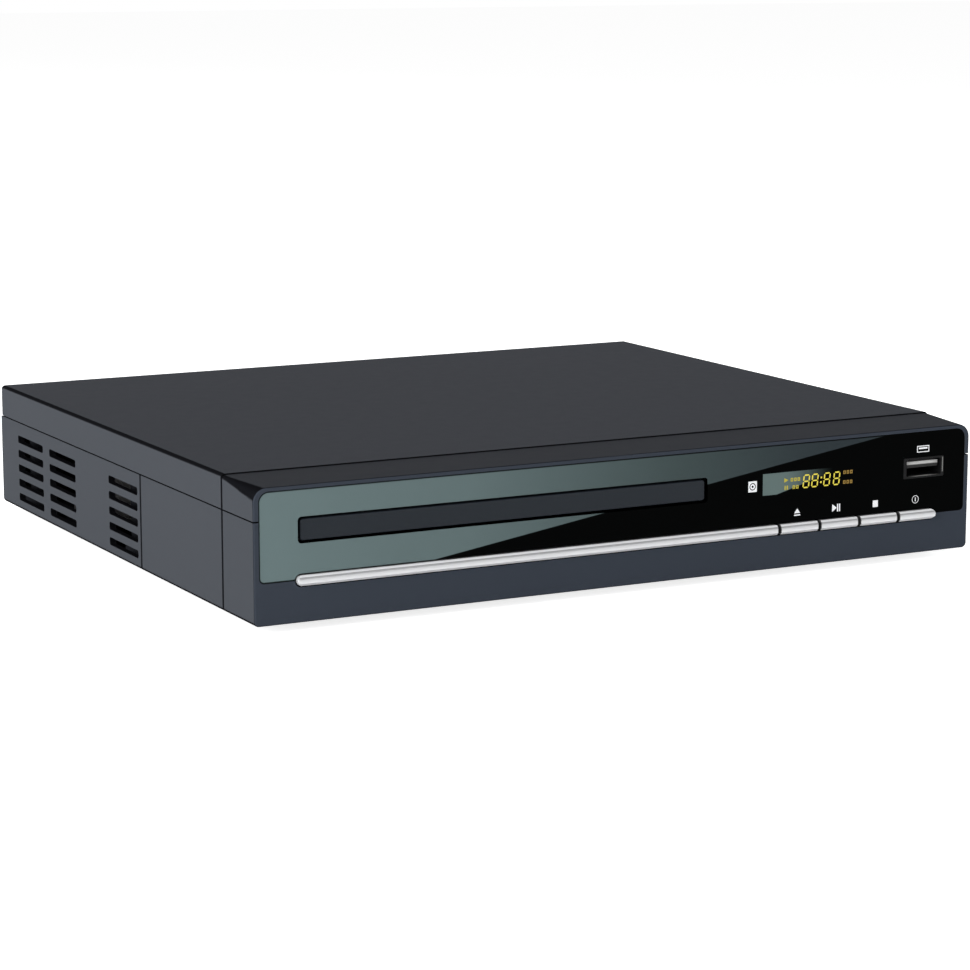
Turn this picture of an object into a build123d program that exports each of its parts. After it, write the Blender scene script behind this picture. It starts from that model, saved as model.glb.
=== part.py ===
from build123d import *
import math
import os

# A compact disc player: plastic case, black front window, motor-driven disc tray.
# Millimetres. X runs to the viewer's right, Y from front to back, Z up from the floor.

# Case
width = 235.0
body_depth = 207.0
body_height = 38.7
foot_height = 2.3
wall = 2.0
seam_height = 28.8
seam_gap = 0.4
edge_radius = 1.2
bottom_radius = 1.6
fit = 0.1
lap_length = 4.0
shell_split_depth = 82.8
rear_lip_height = 3.0

# Front bezel
bezel_depth = 21.2
crown_drop = 0.7
crown_step = 0.35
front_corner_radius = 4.0
front_edge_radius = 0.5
bezel_wall = 4.0
collar_thickness = 1.2
collar_reach = 3.0

# Window set into the bezel
window_margin_side = 1.7
window_margin_top = 1.2
window_bottom = 11.8
window_thickness = 1.8
window_setback = 0.2
window_top_radius = 3.0
window_bottom_radius = 1.5

# Metal trim bar and the four buttons that continue its line
bar_left = 12.5
bar_right = 12.6
bar_bottom = 10.25
bar_height = 2.9
bar_proud = 1.2
bar_ridge = 2.0
bar_bevel = 0.7
bar_groove = 0.15
bar_clearance = 0.4
button_length = 12.95
button_gap = 1.1
button_travel = 0.6
button_count = 4
button_cap_clearance = 0.2
stem_length = 6.0
stem_height = 1.8
stem_clearance = 0.2
stem_flange = 1.0
stem_flange_depth = 0.6

# Disc, tray and tray door
disc_diameter = 120.0
disc_thickness = 1.2
disc_clearance = 0.7
small_disc_diameter = 80.0
small_disc_depth = 1.0
slot_center = 25.5
door_overhang = 0.65
door_height = 5.9
door_thickness = 2.7
door_setback = 0.5
door_radius = 0.8
door_gap_side = 0.9
door_gap_height = 0.75
tray_rim = 2.5
tray_floor = 1.9
tray_well_depth = 2.3
tray_front_wall = 6.0
travel_past_disc = 14.0
tray_slot_radius = 20.0
tray_run_clearance = 0.3
tray_corner_radius = 3.0
finger_notch_x = 46.0
finger_notch_y = 44.0
finger_notch_radius = 11.0
pocket_gap = 6.0
pocket_wall = 3.0

# Loader frame that carries tray, gears and traverse
frame_wall = 2.0
frame_front = 6.0
frame_stand = 3.0
frame_clearance = 0.8
ledge_width = 5.5
lug_width = 6.0
lug_length = 12.0
lug_depths = (30.0, 150.0)
loader_side_room = 3.9

# Gear train under the tray
rack_module = 1.0
rack_height = 2.1
rack_offset = 50.0
rack_back = 2.6
rack_spare = 6.0
drive_teeth = 26
drive_depth = 26.0
wheel_module = 0.8
wheel_teeth = 36
pinion_teeth = 16
gear_width = 2.6
gear_addendum = 0.9
gear_dedendum = 1.25
pressure_angle = 20.0
backlash = 0.24
axle_radius = 1.5
running_clearance = 0.05
pulley_radius = 12.0
motor_pulley_radius = 3.0
belt_size = 1.6
motor_offset = 36.0
tray_motor_radius = 10.0
tray_motor_height = 7.2

# Traverse that carries spindle and pickup
turntable_radius = 13.5
turntable_thickness = 2.4
hub_radius = 7.3
hub_height = 2.0
disc_lift = 1.6
puck_radius = 12.0
puck_flange_radius = 16.0
puck_flange_height = 2.2
deck_half_width = 44.0
deck_thickness = 2.0
deck_drop = 7.4
deck_front = 16.0
deck_rear = 88.0
deck_flange_height = 7.0
pivot_back = 84.0
pivot_drop = 13.0
pivot_radius = 2.0
tilt_degrees = 3.2
spindle_motor_radius = 11.0
spindle_motor_height = 7.0
spindle_shaft_radius = 1.0
rod_radius = 1.5
rod_offset = 24.0
rod_drop = 11.4
lens_start = 24.0
sled_travel = 34.0
screw_offset = 36.0
screw_drop = 13.5
screw_radius = 1.5
screw_lead = 3.0
nut_clearance = 0.3
sled_motor_radius = 4.0
sled_motor_length = 16.0
lens_half_x = 5.6
lens_half_y = 6.2
lens_clearance = 0.35
lens_holder_bottom = 4.6
lens_holder_top = 2.0
focus_travel = 0.5
cam_travel = 16.0
cam_thickness = 2.6
peg_radius = 1.5
peg_drop = 11.0

# Clamp bridge
bridge_thickness = 1.2
bridge_width = 40.0
bridge_gap = 2.2
bridge_flange = 2.2

# Boards and their stand-offs
board_thickness = 1.6
board_stand = 5.0
boss_radius = 3.2
screw_shank = 1.4
screw_head = 2.8
screw_head_height = 1.6
front_board_depth = 9.6
front_board_gap = 3.0
front_board_bottom = 6.4
front_board_top = 36.4
front_boss_radius = 2.2
front_boss_inset = 3.5

# Display and infrared receiver behind the front window
display_shift = 1.2
display_width = 29.2
display_height = 7.0
display_clearance = 0.4
ir_spacing = 17.8
ir_width = 4.4
ir_height = 5.2
ir_window = 4.0
ir_lens_radius = 1.7

# Boards and what stands on them
main_board_left = -75.0
main_board_gap = 4.1
side_board_gap = 3.0
side_board_width = 21.0
side_board_depth = 110.0
side_boss_offset = 11.0
power_board_gap = 4.5
power_board_side = 13.0
power_board_depth = 98.0
power_boss_inset = 4.5
chip_size = 16.0
chip_height = 1.4
chip_offset = 40.0
chip_pin_reach = 1.2
memory_offsets = (19.0, 26.5, 52.5)
side_capacitor_offset = 60.0
capacitor_radius = 4.0
capacitor_height = 12.0
capacitor_depth = 114.0
big_capacitor_radius = 6.5
big_capacitor_height = 22.0
big_capacitor_depth = 160.5
fuse_depth = 124.5
ribbon_width = 12.0

# Sockets
data_inset = 16.3
data_height = 25.9
data_lip_width = 14.7
data_lip_height = 6.2
data_bore_width = 12.5
data_bore_height = 5.12
data_socket_shell = 0.35
data_length = 17.0
data_setback = 0.35
video_center = 30.0
video_width = 15.0
video_height = 5.6
jack_radius = 4.15
jack_collar = 5.0
jack_bore = 3.3
jack_hole = 1.6
jack_length = 9.0
jack_height = 17.0
jack_pitch = 14.0
video_jack_center = -24.0
coax_jack_center = -54.0
jack_block_depth = 11.0
inlet_inset = 25.5
inlet_height = 19.0
inlet_half_pitch = 4.3
inlet_round = 4.2
inlet_depth = 12.0
inlet_back = 3.0
inlet_flange = 1.4
inlet_pin_radius = 1.18
panel_thickness = 1.0

# Mains transformer
transformer_depth = 140.5
core_length = 22.0
core_thickness = 8.0
core_leg = 3.5
core_window = 4.5
core_bottom = 3.0
core_top = 21.0
coil_clearance = 0.1

# Vents in the side walls
vent_length = 23.7
vent_height = 2.4
vent_radius = 0.8
vent_pitch = 4.7
vent_lowest = 4.5
vent_rows = 5
vent_front_column = 97.1
vent_rear_columns = (57.5, 27.9)
floor_vent_count = 8
floor_vent_pitch = 7.0
floor_vent_depth = 112.0
floor_vent_width = 3.0

# Feet
foot_radius = 6.5
foot_seat = 0.5
foot_inset = 21.0
foot_front_inset = 32.0

# Screw posts between lower shell and top cover
post_boss_height = 3.0
post_radius = 3.2
post_boss_radius = 5.0
post_well = 3.4
left_post_inset = 7.0
right_post_inset = 8.0
left_post_depth = 100.0
right_post_depth = 60.0
rear_post_inset = 17.0
rear_screw_inset = 17.5
rear_screw_drop = 3.0

# Places worked out from the sizes above
panel_setback = wall + fit
half = width / 2
jack_reach = jack_length - panel_setback
front = bar_proud - (bar_proud + body_depth + jack_reach) / 2
rear = front + body_depth
base = foot_height
top = base + body_height
floor_top = base + wall
ceiling = top - wall
seam = base + seam_height
bezel_back = front + bezel_depth
crown_front = top - crown_drop
slot_z = base + slot_center

row_end = half - bar_right
bar_x0 = bar_left - half
button_step = button_length + button_gap
bar_x1 = row_end - button_count * button_step
button_x0 = bar_x1 + button_gap
bar_z0 = base + bar_bottom
bar_z1 = bar_z0 + bar_height
bar_middle = (bar_z0 + bar_z1) / 2
recess_depth = window_setback + window_thickness
button_cap_depth = recess_depth - button_travel - button_cap_clearance
button_names = ("button_eject", "button_play", "button_stop", "button_power")

well_radius = disc_diameter / 2 + disc_clearance
tray_half = well_radius + tray_rim
tray_travel = disc_diameter + travel_past_disc
tray_length = drive_depth + tray_travel + rack_spare - door_setback - door_thickness
tray_height = tray_floor + tray_well_depth
tray_bottom = slot_z + door_height / 2 - tray_height - fit / 2
well_floor = tray_bottom + tray_floor
tray_top = tray_bottom + tray_height
tray_y0 = front + door_setback + door_thickness
tray_y1 = tray_y0 + tray_length
spindle_y = tray_y0 + tray_front_wall + well_radius

frame_inner = tray_half + frame_clearance
frame_outer = frame_inner + frame_wall
tray_center_x = wall - half + loader_side_room + lug_width + frame_outer
frame_y0 = front + frame_front
frame_y1 = tray_y1 + 0.4 + frame_wall
frame_bottom = floor_top + frame_stand
frame_floor = frame_bottom + frame_wall
ledge_top = tray_bottom - fit
bridge_bottom = tray_top + bridge_gap

door_width = 2 * (tray_half + door_overhang)
slot_width = door_width + 2 * door_gap_side
slot_height = door_height + 2 * door_gap_height
slot_right = tray_center_x + slot_width / 2

seat = well_floor + disc_lift
hub_top = seat + hub_height
deck_top = seat - deck_drop
deck_bottom = deck_top - deck_thickness
deck_y0 = spindle_y - deck_front
deck_y1 = spindle_y + deck_rear
pivot_y = spindle_y + pivot_back
pivot_z = seat - pivot_drop
peg_z = seat - peg_drop
rod_z = seat - rod_drop
screw_z = seat - screw_drop
lens_y = spindle_y + lens_start
puck_bottom = seat + disc_thickness - 0.3
tilt = math.radians(tilt_degrees)
peg_fall = (pivot_y - deck_y0 + cam_thickness) * math.sin(tilt)

rack_x = tray_center_x + rack_offset
drive_radius = rack_module * drive_teeth / 2
drive_x = rack_x - drive_radius
drive_y = front + drive_depth
wheel_radius = wheel_module * wheel_teeth / 2
pinion_radius = wheel_module * pinion_teeth / 2
pulley_x = drive_x - wheel_radius - pinion_radius
motor_x = pulley_x - motor_offset
rack_bottom = tray_bottom - rack_height
drive_gear_width = rack_height - 0.2
drive_gear_z = rack_bottom
wheel_z = frame_floor + 4.0
belt_z = wheel_z + gear_width + 3.0

board_bottom = floor_top + board_stand
board_top = board_bottom + board_thickness
panel_y1 = rear - panel_setback
panel_y0 = panel_y1 - panel_thickness
front_board_y = front + front_board_depth
front_board_left = slot_right + front_board_gap
data_center = half - data_inset
data_left = data_center - data_lip_width / 2
data_z = base + data_height
display_center = (slot_right + data_left) / 2 - display_shift
display_right = display_center + display_width / 2
ir_center = display_center - ir_spacing
inlet_center = half - inlet_inset
inlet_y1 = panel_y1 + inlet_flange
inlet_y0 = inlet_y1 - inlet_depth - inlet_back
main_board_y0 = frame_y1 + main_board_gap
side_board_x0 = tray_center_x + frame_outer + lug_width + side_board_gap
side_board_x1 = side_board_x0 + side_board_width
side_board_middle = (side_board_x0 + side_board_x1) / 2
side_board_y0 = front + side_board_depth
chip_y = side_board_y0 + chip_offset
power_board_x0 = side_board_x1 + power_board_gap
power_board_x1 = half - power_board_side
power_board_middle = (power_board_x0 + power_board_x1) / 2
jack_xs = [video_jack_center + i * jack_pitch for i in range(3)] + [coax_jack_center]
window_top = crown_front - window_margin_top


def block(x0, x1, y0, y1, z0, z1):
    """A box between two corners."""
    return Pos((x0 + x1) / 2, (y0 + y1) / 2, (z0 + z1) / 2) * Box(x1 - x0, y1 - y0, z1 - z0)


def post(x, y, z0, z1, radius):
    """An upright cylinder."""
    return Pos(x, y, (z0 + z1) / 2) * Cylinder(radius, z1 - z0)


def along_y(x, z, y0, y1, radius):
    """A cylinder that runs front to back."""
    return Pos(x, (y0 + y1) / 2, z) * Rot(90, 0, 0) * Cylinder(radius, y1 - y0)


def along_x(y, z, x0, x1, radius):
    """A cylinder that runs left to right."""
    return Pos((x0 + x1) / 2, y, z) * Rot(0, 90, 0) * Cylinder(radius, x1 - x0)


def front_plate(sketch, y0, y1):
    """A front-view sketch given depth."""
    return extrude(Plane.XZ.offset(-y0) * sketch, amount=y1 - y0, dir=(0, 1, 0))


def side_plate(sketch, x0, x1):
    """A side-view sketch given width."""
    return extrude(Plane.YZ.offset(x0) * sketch, amount=x1 - x0, dir=(1, 0, 0))


def flat_plate(sketch, z0, z1):
    """A top-view sketch given height."""
    return extrude(Plane.XY.offset(z0) * sketch, amount=z1 - z0, dir=(0, 0, 1))


def outline(x0, x1, z0, z1, low_radius, high_radius):
    """A rectangle with one radius on its lower and one on its upper corners."""
    shape = Pos((x0 + x1) / 2, (z0 + z1) / 2) * Rectangle(x1 - x0, z1 - z0)
    if high_radius > 0:
        shape = fillet(shape.vertices().group_by(Axis.Y)[-1], high_radius)
    if low_radius > 0:
        shape = fillet(shape.vertices().group_by(Axis.Y)[0], low_radius)
    return shape


def rounded(x, z, size_x, size_z, radius):
    """A rounded rectangle about its centre."""
    return Pos(x, z) * RectangleRounded(size_x, size_z, radius)


def bar_shape(extra):
    """The outline that bar and buttons share, grown on all sides by extra."""
    length = row_end - bar_x0 + 2 * extra
    return Pos((bar_x0 + row_end) / 2, bar_middle) * SlotOverall(length, bar_height + 2 * extra)


def boss(x, y, z0, z1):
    """A stand-off with a pilot hole for a screw."""
    return post(x, y, z0, z1, boss_radius) - post(x, y, z0 + 0.5, z1, screw_shank)


def screw(length):
    """A cross-head screw with its seat at the origin and its head towards +Z."""
    shank = post(0, 0, -length, 0, screw_shank - fit)
    head = post(0, 0, 0, screw_head_height, screw_head)
    head = fillet(head.edges().sort_by(Axis.Z)[-1], 0.5)
    arm = screw_head - 1.0
    cross = block(-0.4, 0.4, -arm, arm, 0.8, screw_head_height) + block(-arm, arm, -0.4, 0.4, 0.8, screw_head_height)
    return shank + head - cross


def down_screw(x, y, seat_z, length):
    return (Pos(x, y, seat_z) * screw(length)).solid()


def up_screw(x, y, seat_z, length):
    return (Pos(x, y, seat_z) * Rot(180, 0, 0) * screw(length)).solid()


def rear_screw(x, seat_y, z, length):
    return (Pos(x, seat_y, z) * Rot(-90, 0, 0) * screw(length)).solid()


def seam_tongue(y0, y1):
    """A thin upright lip behind the long side seam."""
    x1 = half - wall / 2 - fit / 2
    x0 = half - wall
    z0 = seam - 3.0
    z1 = seam + 1.8
    lips = block(x0, x1, y0, y1, z0, z1) + block(-x1, -x0, y0, y1, z0, z1)
    return lips


def seam_rebate(y0, y1):
    """Room in the upper half for the lip."""
    x1 = half - wall / 2 + fit / 2
    z1 = seam + 1.8 + 0.2
    return block(x1 - wall, x1, y0, y1, seam, z1) + block(-x1, wall - x1, y0, y1, seam, z1)


def gear_outline(teeth, module, turn):
    """Involute teeth with one tooth centred on the X axis, then turned by degrees."""
    pitch = module * teeth / 2
    base_circle = pitch * math.cos(math.radians(pressure_angle))
    root = pitch - gear_dedendum * module
    tip = pitch + gear_addendum * module
    half_tooth = math.pi / (2 * teeth) - backlash / (2 * pitch)
    at_pitch = math.tan(math.radians(pressure_angle)) - math.radians(pressure_angle)
    flank = []
    for radius in (root, base_circle, (base_circle + pitch) / 2, pitch, (pitch + tip) / 2, tip):
        angle = math.acos(min(1.0, base_circle / max(radius, base_circle)))
        flank.append((radius, half_tooth + at_pitch - (math.tan(angle) - angle)))
    if root > base_circle:
        flank.pop(1)
    points = []
    for i in range(teeth):
        middle = 2 * math.pi * i / teeth + math.radians(turn)
        rising = [(r, middle - a) for r, a in flank]
        falling = [(r, middle + a) for r, a in reversed(flank)]
        points += [(r * math.cos(a), r * math.sin(a)) for r, a in rising + falling]
    return Polygon(*points)


def case_section(z0, z1, low_radius, high_radius, inset):
    """The case's cross-section between two heights."""
    return outline(inset - half, half - inset, z0, z1, low_radius, high_radius)


def case_post_places():
    left = left_post_inset - half
    right = half - right_post_inset
    back = rear - rear_post_inset
    return [(left, front + left_post_depth), (left, back), (right, front + right_post_depth), (right, back)]


def rear_screw_places():
    x = half - rear_screw_inset
    return [(x * side, ceiling - rear_screw_drop) for side in (-1, 0, 1)]


def make_top_cover():
    y0 = bezel_back + seam_gap
    body = front_plate(case_section(seam + seam_gap / 2, top, 0, edge_radius, 0), y0, rear)
    rear_edge = body.edges().filter_by(Axis.X).filter_by_position(Axis.Z, top - 0.01, top + 0.01)
    body = fillet(rear_edge.sort_by(Axis.Y)[-1], edge_radius)
    body -= block(wall - half, half - wall, y0 - 1, rear - wall, seam - 1, ceiling)
    body -= seam_rebate(y0 - 1, rear - wall)
    stiffener = block(wall - half + 6, half - wall - 6, 0, 1.2, ceiling - 1.6, ceiling)
    for depth in (96.0, 140.0, 180.0):
        body += Pos(0, front + depth, 0) * stiffener
    for x, y in case_post_places():
        body += post(x, y, floor_top + post_boss_height + fit, ceiling, post_radius)
        body -= post(x, y, floor_top, floor_top + 14.0, screw_shank)
    for x, z in rear_screw_places():
        body -= along_y(x, z, rear - wall - 1, rear + 1, screw_shank + fit)
    return body


def shell_section(y0, y1):
    outer = front_plate(case_section(base, seam - seam_gap / 2, bottom_radius, 0, 0), y0, y1)
    return outer - block(wall - half, half - wall, y0 - 1, y1 + 1, floor_top, top)


def half_thick_section(y0, y1, offset):
    """The inner half of the shell's wall and floor, for the lap between the two shells."""
    inset = wall / 2 + offset
    z1 = seam - seam_gap / 2
    outer = front_plate(case_section(base + inset, z1, 0, 0, inset), y0, y1)
    return outer - block(wall - half, half - wall, y0 - 1, y1 + 1, floor_top, top)


def foot_places():
    xs = (foot_inset - half, half - foot_inset)
    ys = (front + foot_front_inset, rear - foot_inset)
    return [(x, y) for x in xs for y in ys]


def foot_recesses():
    return [post(x, y, base - 1, base + foot_seat, foot_radius + fit) for x, y in foot_places()]


def loader_lug_places():
    x = frame_outer + lug_width / 2
    return [(tray_center_x + side * x, front + depth) for side in (-1, 1) for depth in lug_depths]


def add_post_seats(body, y0, y1):
    """Raised seats with sunk screw holes under the cover's posts."""
    for x, y in case_post_places():
        if y0 < y < y1:
            body += post(x, y, floor_top, floor_top + post_boss_height, post_boss_radius)
            body -= post(x, y, base - 1, base + post_well, screw_head + 0.4)
            body -= post(x, y, base, floor_top + post_boss_height + 1, screw_shank + fit)
    return body


def make_lower_shell_front():
    y0 = bezel_back + seam_gap
    y1 = front + shell_split_depth - 0.2
    body = shell_section(y0, y1)
    body += half_thick_section(y1 - lap_length, y1 + lap_length, fit / 2)
    body += seam_tongue(y0 + collar_reach + 1, y1)
    for x, y in loader_lug_places():
        if y < y1:
            body += boss(x, y, floor_top, frame_bottom)
    body = add_post_seats(body, y0, y1)
    for recess in foot_recesses():
        body -= recess
    return body


def power_board_bosses():
    xs = (power_board_x0 + power_boss_inset, power_board_x1 - power_boss_inset)
    ys = (front + power_board_depth + 6.0, inlet_y0 - screw_head - 0.5)
    return [(x, y) for x in xs for y in ys]


def main_board_bosses():
    return [(side_board_middle, side_board_y0 + side_boss_offset),
            (video_center + video_width / 2 + 2.5, rear - 10.0),
            (main_board_left + 5.0, (main_board_y0 + panel_y0) / 2)]


def vent_columns():
    return [front + vent_front_column] + [rear - inset for inset in vent_rear_columns]


def make_lower_shell_rear():
    y0 = front + shell_split_depth + 0.2
    body = shell_section(y0, rear)
    body -= half_thick_section(y0 - 1, y0 + lap_length + 0.2, -fit / 2)
    body += seam_tongue(y0 + lap_length + 0.6, rear - wall - 0.2)
    for row in range(vent_rows):
        z = base + vent_lowest + row * vent_pitch
        for y in vent_columns():
            slot = rounded(y, z, vent_length, vent_height, vent_radius)
            body -= side_plate(slot, -half - 1, half + 1)
    floor_vent_length = power_board_x1 - power_board_x0 - 14.0
    for i in range(floor_vent_count):
        y = front + floor_vent_depth + i * floor_vent_pitch
        slot = Pos(power_board_middle, y) * SlotOverall(floor_vent_length, floor_vent_width)
        body -= flat_plate(slot, base - 1, floor_top + 1)
    body += block(wall - half, half - wall, rear - wall, rear, floor_top, floor_top + rear_lip_height)
    for x, y in loader_lug_places():
        if y > y0:
            body += boss(x, y, floor_top, frame_bottom)
    for x, y in power_board_bosses() + main_board_bosses():
        body += boss(x, y, floor_top, board_bottom)
    body = add_post_seats(body, y0, rear)
    for recess in foot_recesses():
        body -= recess
    return body


def make_rubber_feet():
    feet = []
    for x, y in foot_places():
        foot = post(x, y, 0, base + foot_seat, foot_radius)
        bottom = foot.edges().sort_by(Axis.Z)[0]
        feet.append(fillet(bottom, 0.6))
    return Compound(feet)


def bezel_solid():
    nose = outline(-half, half, base, crown_front, bottom_radius, front_corner_radius)
    tail = outline(-half, half, base, top - crown_step, bottom_radius, edge_radius)
    ends = [(Plane.XZ.offset(-front) * nose).face(), (Plane.XZ.offset(-bezel_back) * tail).face()]
    body = Part() + loft(ends, ruled=True)
    rim = body.edges().filter_by_position(Axis.Y, front - 0.01, front + 0.01)
    return fillet(rim, front_edge_radius)


def collar():
    y0 = bezel_back - collar_reach - 1
    y1 = bezel_back + collar_reach
    inner_x = half - wall - fit - collar_thickness
    inner_z0 = floor_top + fit + collar_thickness
    inner_z1 = ceiling - fit - collar_thickness
    root = block(1 - half, half - 1, y0, bezel_back, base + 1, top - 1)
    lip = block(wall + fit - half, half - wall - fit, y0, y1, floor_top + fit, ceiling - fit)
    return root + lip - block(-inner_x, inner_x, y0 - 1, y1 + 1, inner_z0, inner_z1)


def window_outline(extra):
    x = half - window_margin_side + extra
    z0 = base + window_bottom - extra
    return outline(-x, x, z0, window_top + extra, window_bottom_radius, window_top_radius)


def tray_slot():
    return rounded(tray_center_x, slot_z, slot_width, slot_height, door_radius + 0.3)


def front_board_bosses():
    low = front_board_bottom + front_boss_inset
    high = front_board_top - 2.8
    left = front_board_left + front_boss_inset
    return [(left, low), (half - 6.5, low), ((display_right + data_left) / 2, high), (left, high)]


def button_center(index):
    return button_x0 + index * button_step + button_length / 2


def bezel_body():
    """Both bezel halves in one, before the seam parts them."""
    body = bezel_solid()
    body -= block(wall - half, half - wall, front + bezel_wall, bezel_back + 1, floor_top, crown_front - wall)
    body += collar()
    recess_y = front + recess_depth
    body -= front_plate(window_outline(fit), front - 1, recess_y)
    body -= front_plate(bar_shape(bar_clearance), front - 1, recess_y)
    body -= front_plate(tray_slot(), front - 1, front + bezel_wall + 1)
    display_hole = (display_width + 2 * display_clearance, display_height + 2 * display_clearance)
    body -= front_plate(rounded(display_center, slot_z, *display_hole, 0.5), front, front + bezel_wall + 1)
    body -= front_plate(rounded(ir_center, slot_z, ir_window, ir_window, 0.4), front, front + bezel_wall + 1)
    data_hole = rounded(data_center, data_z, data_lip_width + 2 * fit, data_lip_height + 2 * fit, 0.5)
    body -= front_plate(data_hole, front - 1, front + bezel_wall + 1)
    for i in range(button_count):
        size_x = stem_length + 2 * stem_clearance
        size_z = stem_height + 2 * stem_clearance
        hole = rounded(button_center(i), bar_middle, size_x, size_z, 0.4)
        body -= front_plate(hole, front, front + bezel_wall + 1)
    for x, z in front_board_bosses():
        body += along_y(x, z, front + bezel_wall - 0.5, front_board_y, front_boss_radius)
        body -= along_y(x, z, front + bezel_wall, front_board_y, screw_shank)
    return body


def make_front_bezel_upper(whole):
    body = whole - block(-width, width, front - 5, bezel_back + 9, -1, seam + seam_gap / 2)
    return body - seam_rebate(front + bezel_wall + 0.3, bezel_back - collar_reach - 1)


def make_front_bezel_lower(whole):
    body = whole - block(-width, width, front - 5, bezel_back + 9, seam - seam_gap / 2, top + 5)
    return body + seam_tongue(front + bezel_wall + 0.5, bezel_back - collar_reach - 1.2)


def make_front_window():
    y0 = front + window_setback
    plate = front_plate(window_outline(0), y0, y0 + window_thickness)
    plate -= front_plate(bar_shape(bar_clearance), front - 1, front + 5)
    plate -= front_plate(tray_slot(), front - 1, front + 5)
    data_hole = rounded(data_center, data_z, data_lip_width + 2 * fit, data_lip_height + 2 * fit, 0.5)
    return plate - front_plate(data_hole, front - 1, front + 5)


def bar_profile(x0, x1, depth):
    """The bevelled, grooved section of bar and buttons between two ends."""
    face = front - bar_proud
    ridge = bar_z0 + bar_ridge
    points = ((front + depth, bar_z0), (face + bar_bevel, bar_z0), (face, bar_z0 + bar_bevel),
              (face, ridge - bar_groove), (face + bar_groove, ridge), (face, ridge + bar_groove),
              (face + bar_bevel, bar_z1), (front + depth, bar_z1))
    return side_plate(Polygon(*points), x0, x1)


def row_piece(x0, x1, depth):
    """One length of the bar's row, round where it meets the row's own end."""
    body = front_plate(bar_shape(0), front - bar_proud - 1, front + depth)
    return body & bar_profile(x0, x1, depth)


def make_trim_bar():
    return row_piece(bar_x0, bar_x1, recess_depth)


def stem_end():
    """Depth at which a button's stem ends, behind the bezel's wall."""
    return front + bezel_wall + fit + stem_flange_depth


def make_button(index):
    x = button_center(index)
    cap = row_piece(x - button_length / 2, x + button_length / 2, button_cap_depth)
    stem = front_plate(rounded(x, bar_middle, stem_length, stem_height, 0.3), front, stem_end())
    flange_size = (stem_length + 2 * stem_flange, stem_height + 2 * stem_flange)
    flange = front_plate(rounded(x, bar_middle, *flange_size, 0.5), stem_end() - stem_flange_depth, stem_end())
    return cap + stem + flange


def make_tact_switches():
    switches = []
    half_size = 3.0
    tip = stem_end() + button_travel + fit
    body_front = tip + 0.8
    for i in range(button_count):
        x = button_center(i)
        body = block(x - half_size, x + half_size, body_front, front_board_y, bar_middle - half_size,
                     bar_middle + half_size)
        switches.append((body + along_y(x, bar_middle, tip, body_front, 1.7)).solid())
    return Compound(switches)


def make_tray_door():
    y0 = front + door_setback
    plate = front_plate(rounded(tray_center_x, slot_z, door_width, door_height, door_radius), y0, tray_y0)
    face = plate.edges().filter_by_position(Axis.Y, y0 - 0.01, y0 + 0.01)
    return fillet(face, 0.4)


def rack_teeth():
    """Straight-sided teeth that point towards the drive gear, on one back."""
    pitch = math.pi * rack_module
    lean = math.tan(math.radians(pressure_angle))
    tip = rack_x - gear_addendum * rack_module
    root = rack_x + gear_dedendum * rack_module
    half_pitch_line = pitch / 4 - backlash / 2
    half_tip = half_pitch_line - gear_addendum * rack_module * lean
    half_root = half_pitch_line + gear_dedendum * rack_module * lean
    first = drive_y - 2.5 * pitch
    count = int((tray_y1 - 1.0 - first) / pitch)
    y0 = first - pitch / 2
    y1 = first + (count - 0.5) * pitch
    points = [(root + rack_back, y0), (root, y0)]
    for i in range(count):
        y = first + i * pitch
        points += [(root, y - half_root), (tip, y - half_tip), (tip, y + half_tip), (root, y + half_root)]
    points += [(root, y1), (root + rack_back, y1)]
    return Polygon(*points, align=None)


def make_disc_tray():
    x = tray_center_x
    plan = Pos(x, (tray_y0 + tray_y1) / 2) * Rectangle(2 * tray_half, tray_length)
    body = flat_plate(plan, tray_bottom, tray_top)
    body = fillet(body.edges().filter_by(Axis.Z).sort_by(Axis.Y)[-2:], tray_corner_radius)
    body -= post(x, spindle_y, well_floor, tray_top + 1, well_radius)
    small_radius = small_disc_diameter / 2 + disc_clearance
    body -= post(x, spindle_y, well_floor - small_disc_depth, tray_top, small_radius)
    for side in (-1, 1):
        notch_x = x + side * finger_notch_x
        body -= post(notch_x, spindle_y - finger_notch_y, well_floor, tray_top + 1, finger_notch_radius)
    pocket_half = tray_half - tray_rim
    pocket = block(x - pocket_half, x + pocket_half, spindle_y + well_radius + pocket_gap, tray_y1 - pocket_wall,
                   well_floor, tray_top + 1)
    body -= fillet(pocket.edges().filter_by(Axis.Z), 2.0)
    body -= post(x, spindle_y, tray_bottom - 1, tray_top + 1, tray_slot_radius)
    body -= block(x - tray_slot_radius, x + tray_slot_radius, spindle_y, tray_y1 + 1, tray_bottom - 1, tray_top + 1)
    return body + flat_plate(rack_teeth(), rack_bottom, tray_bottom)


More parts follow.
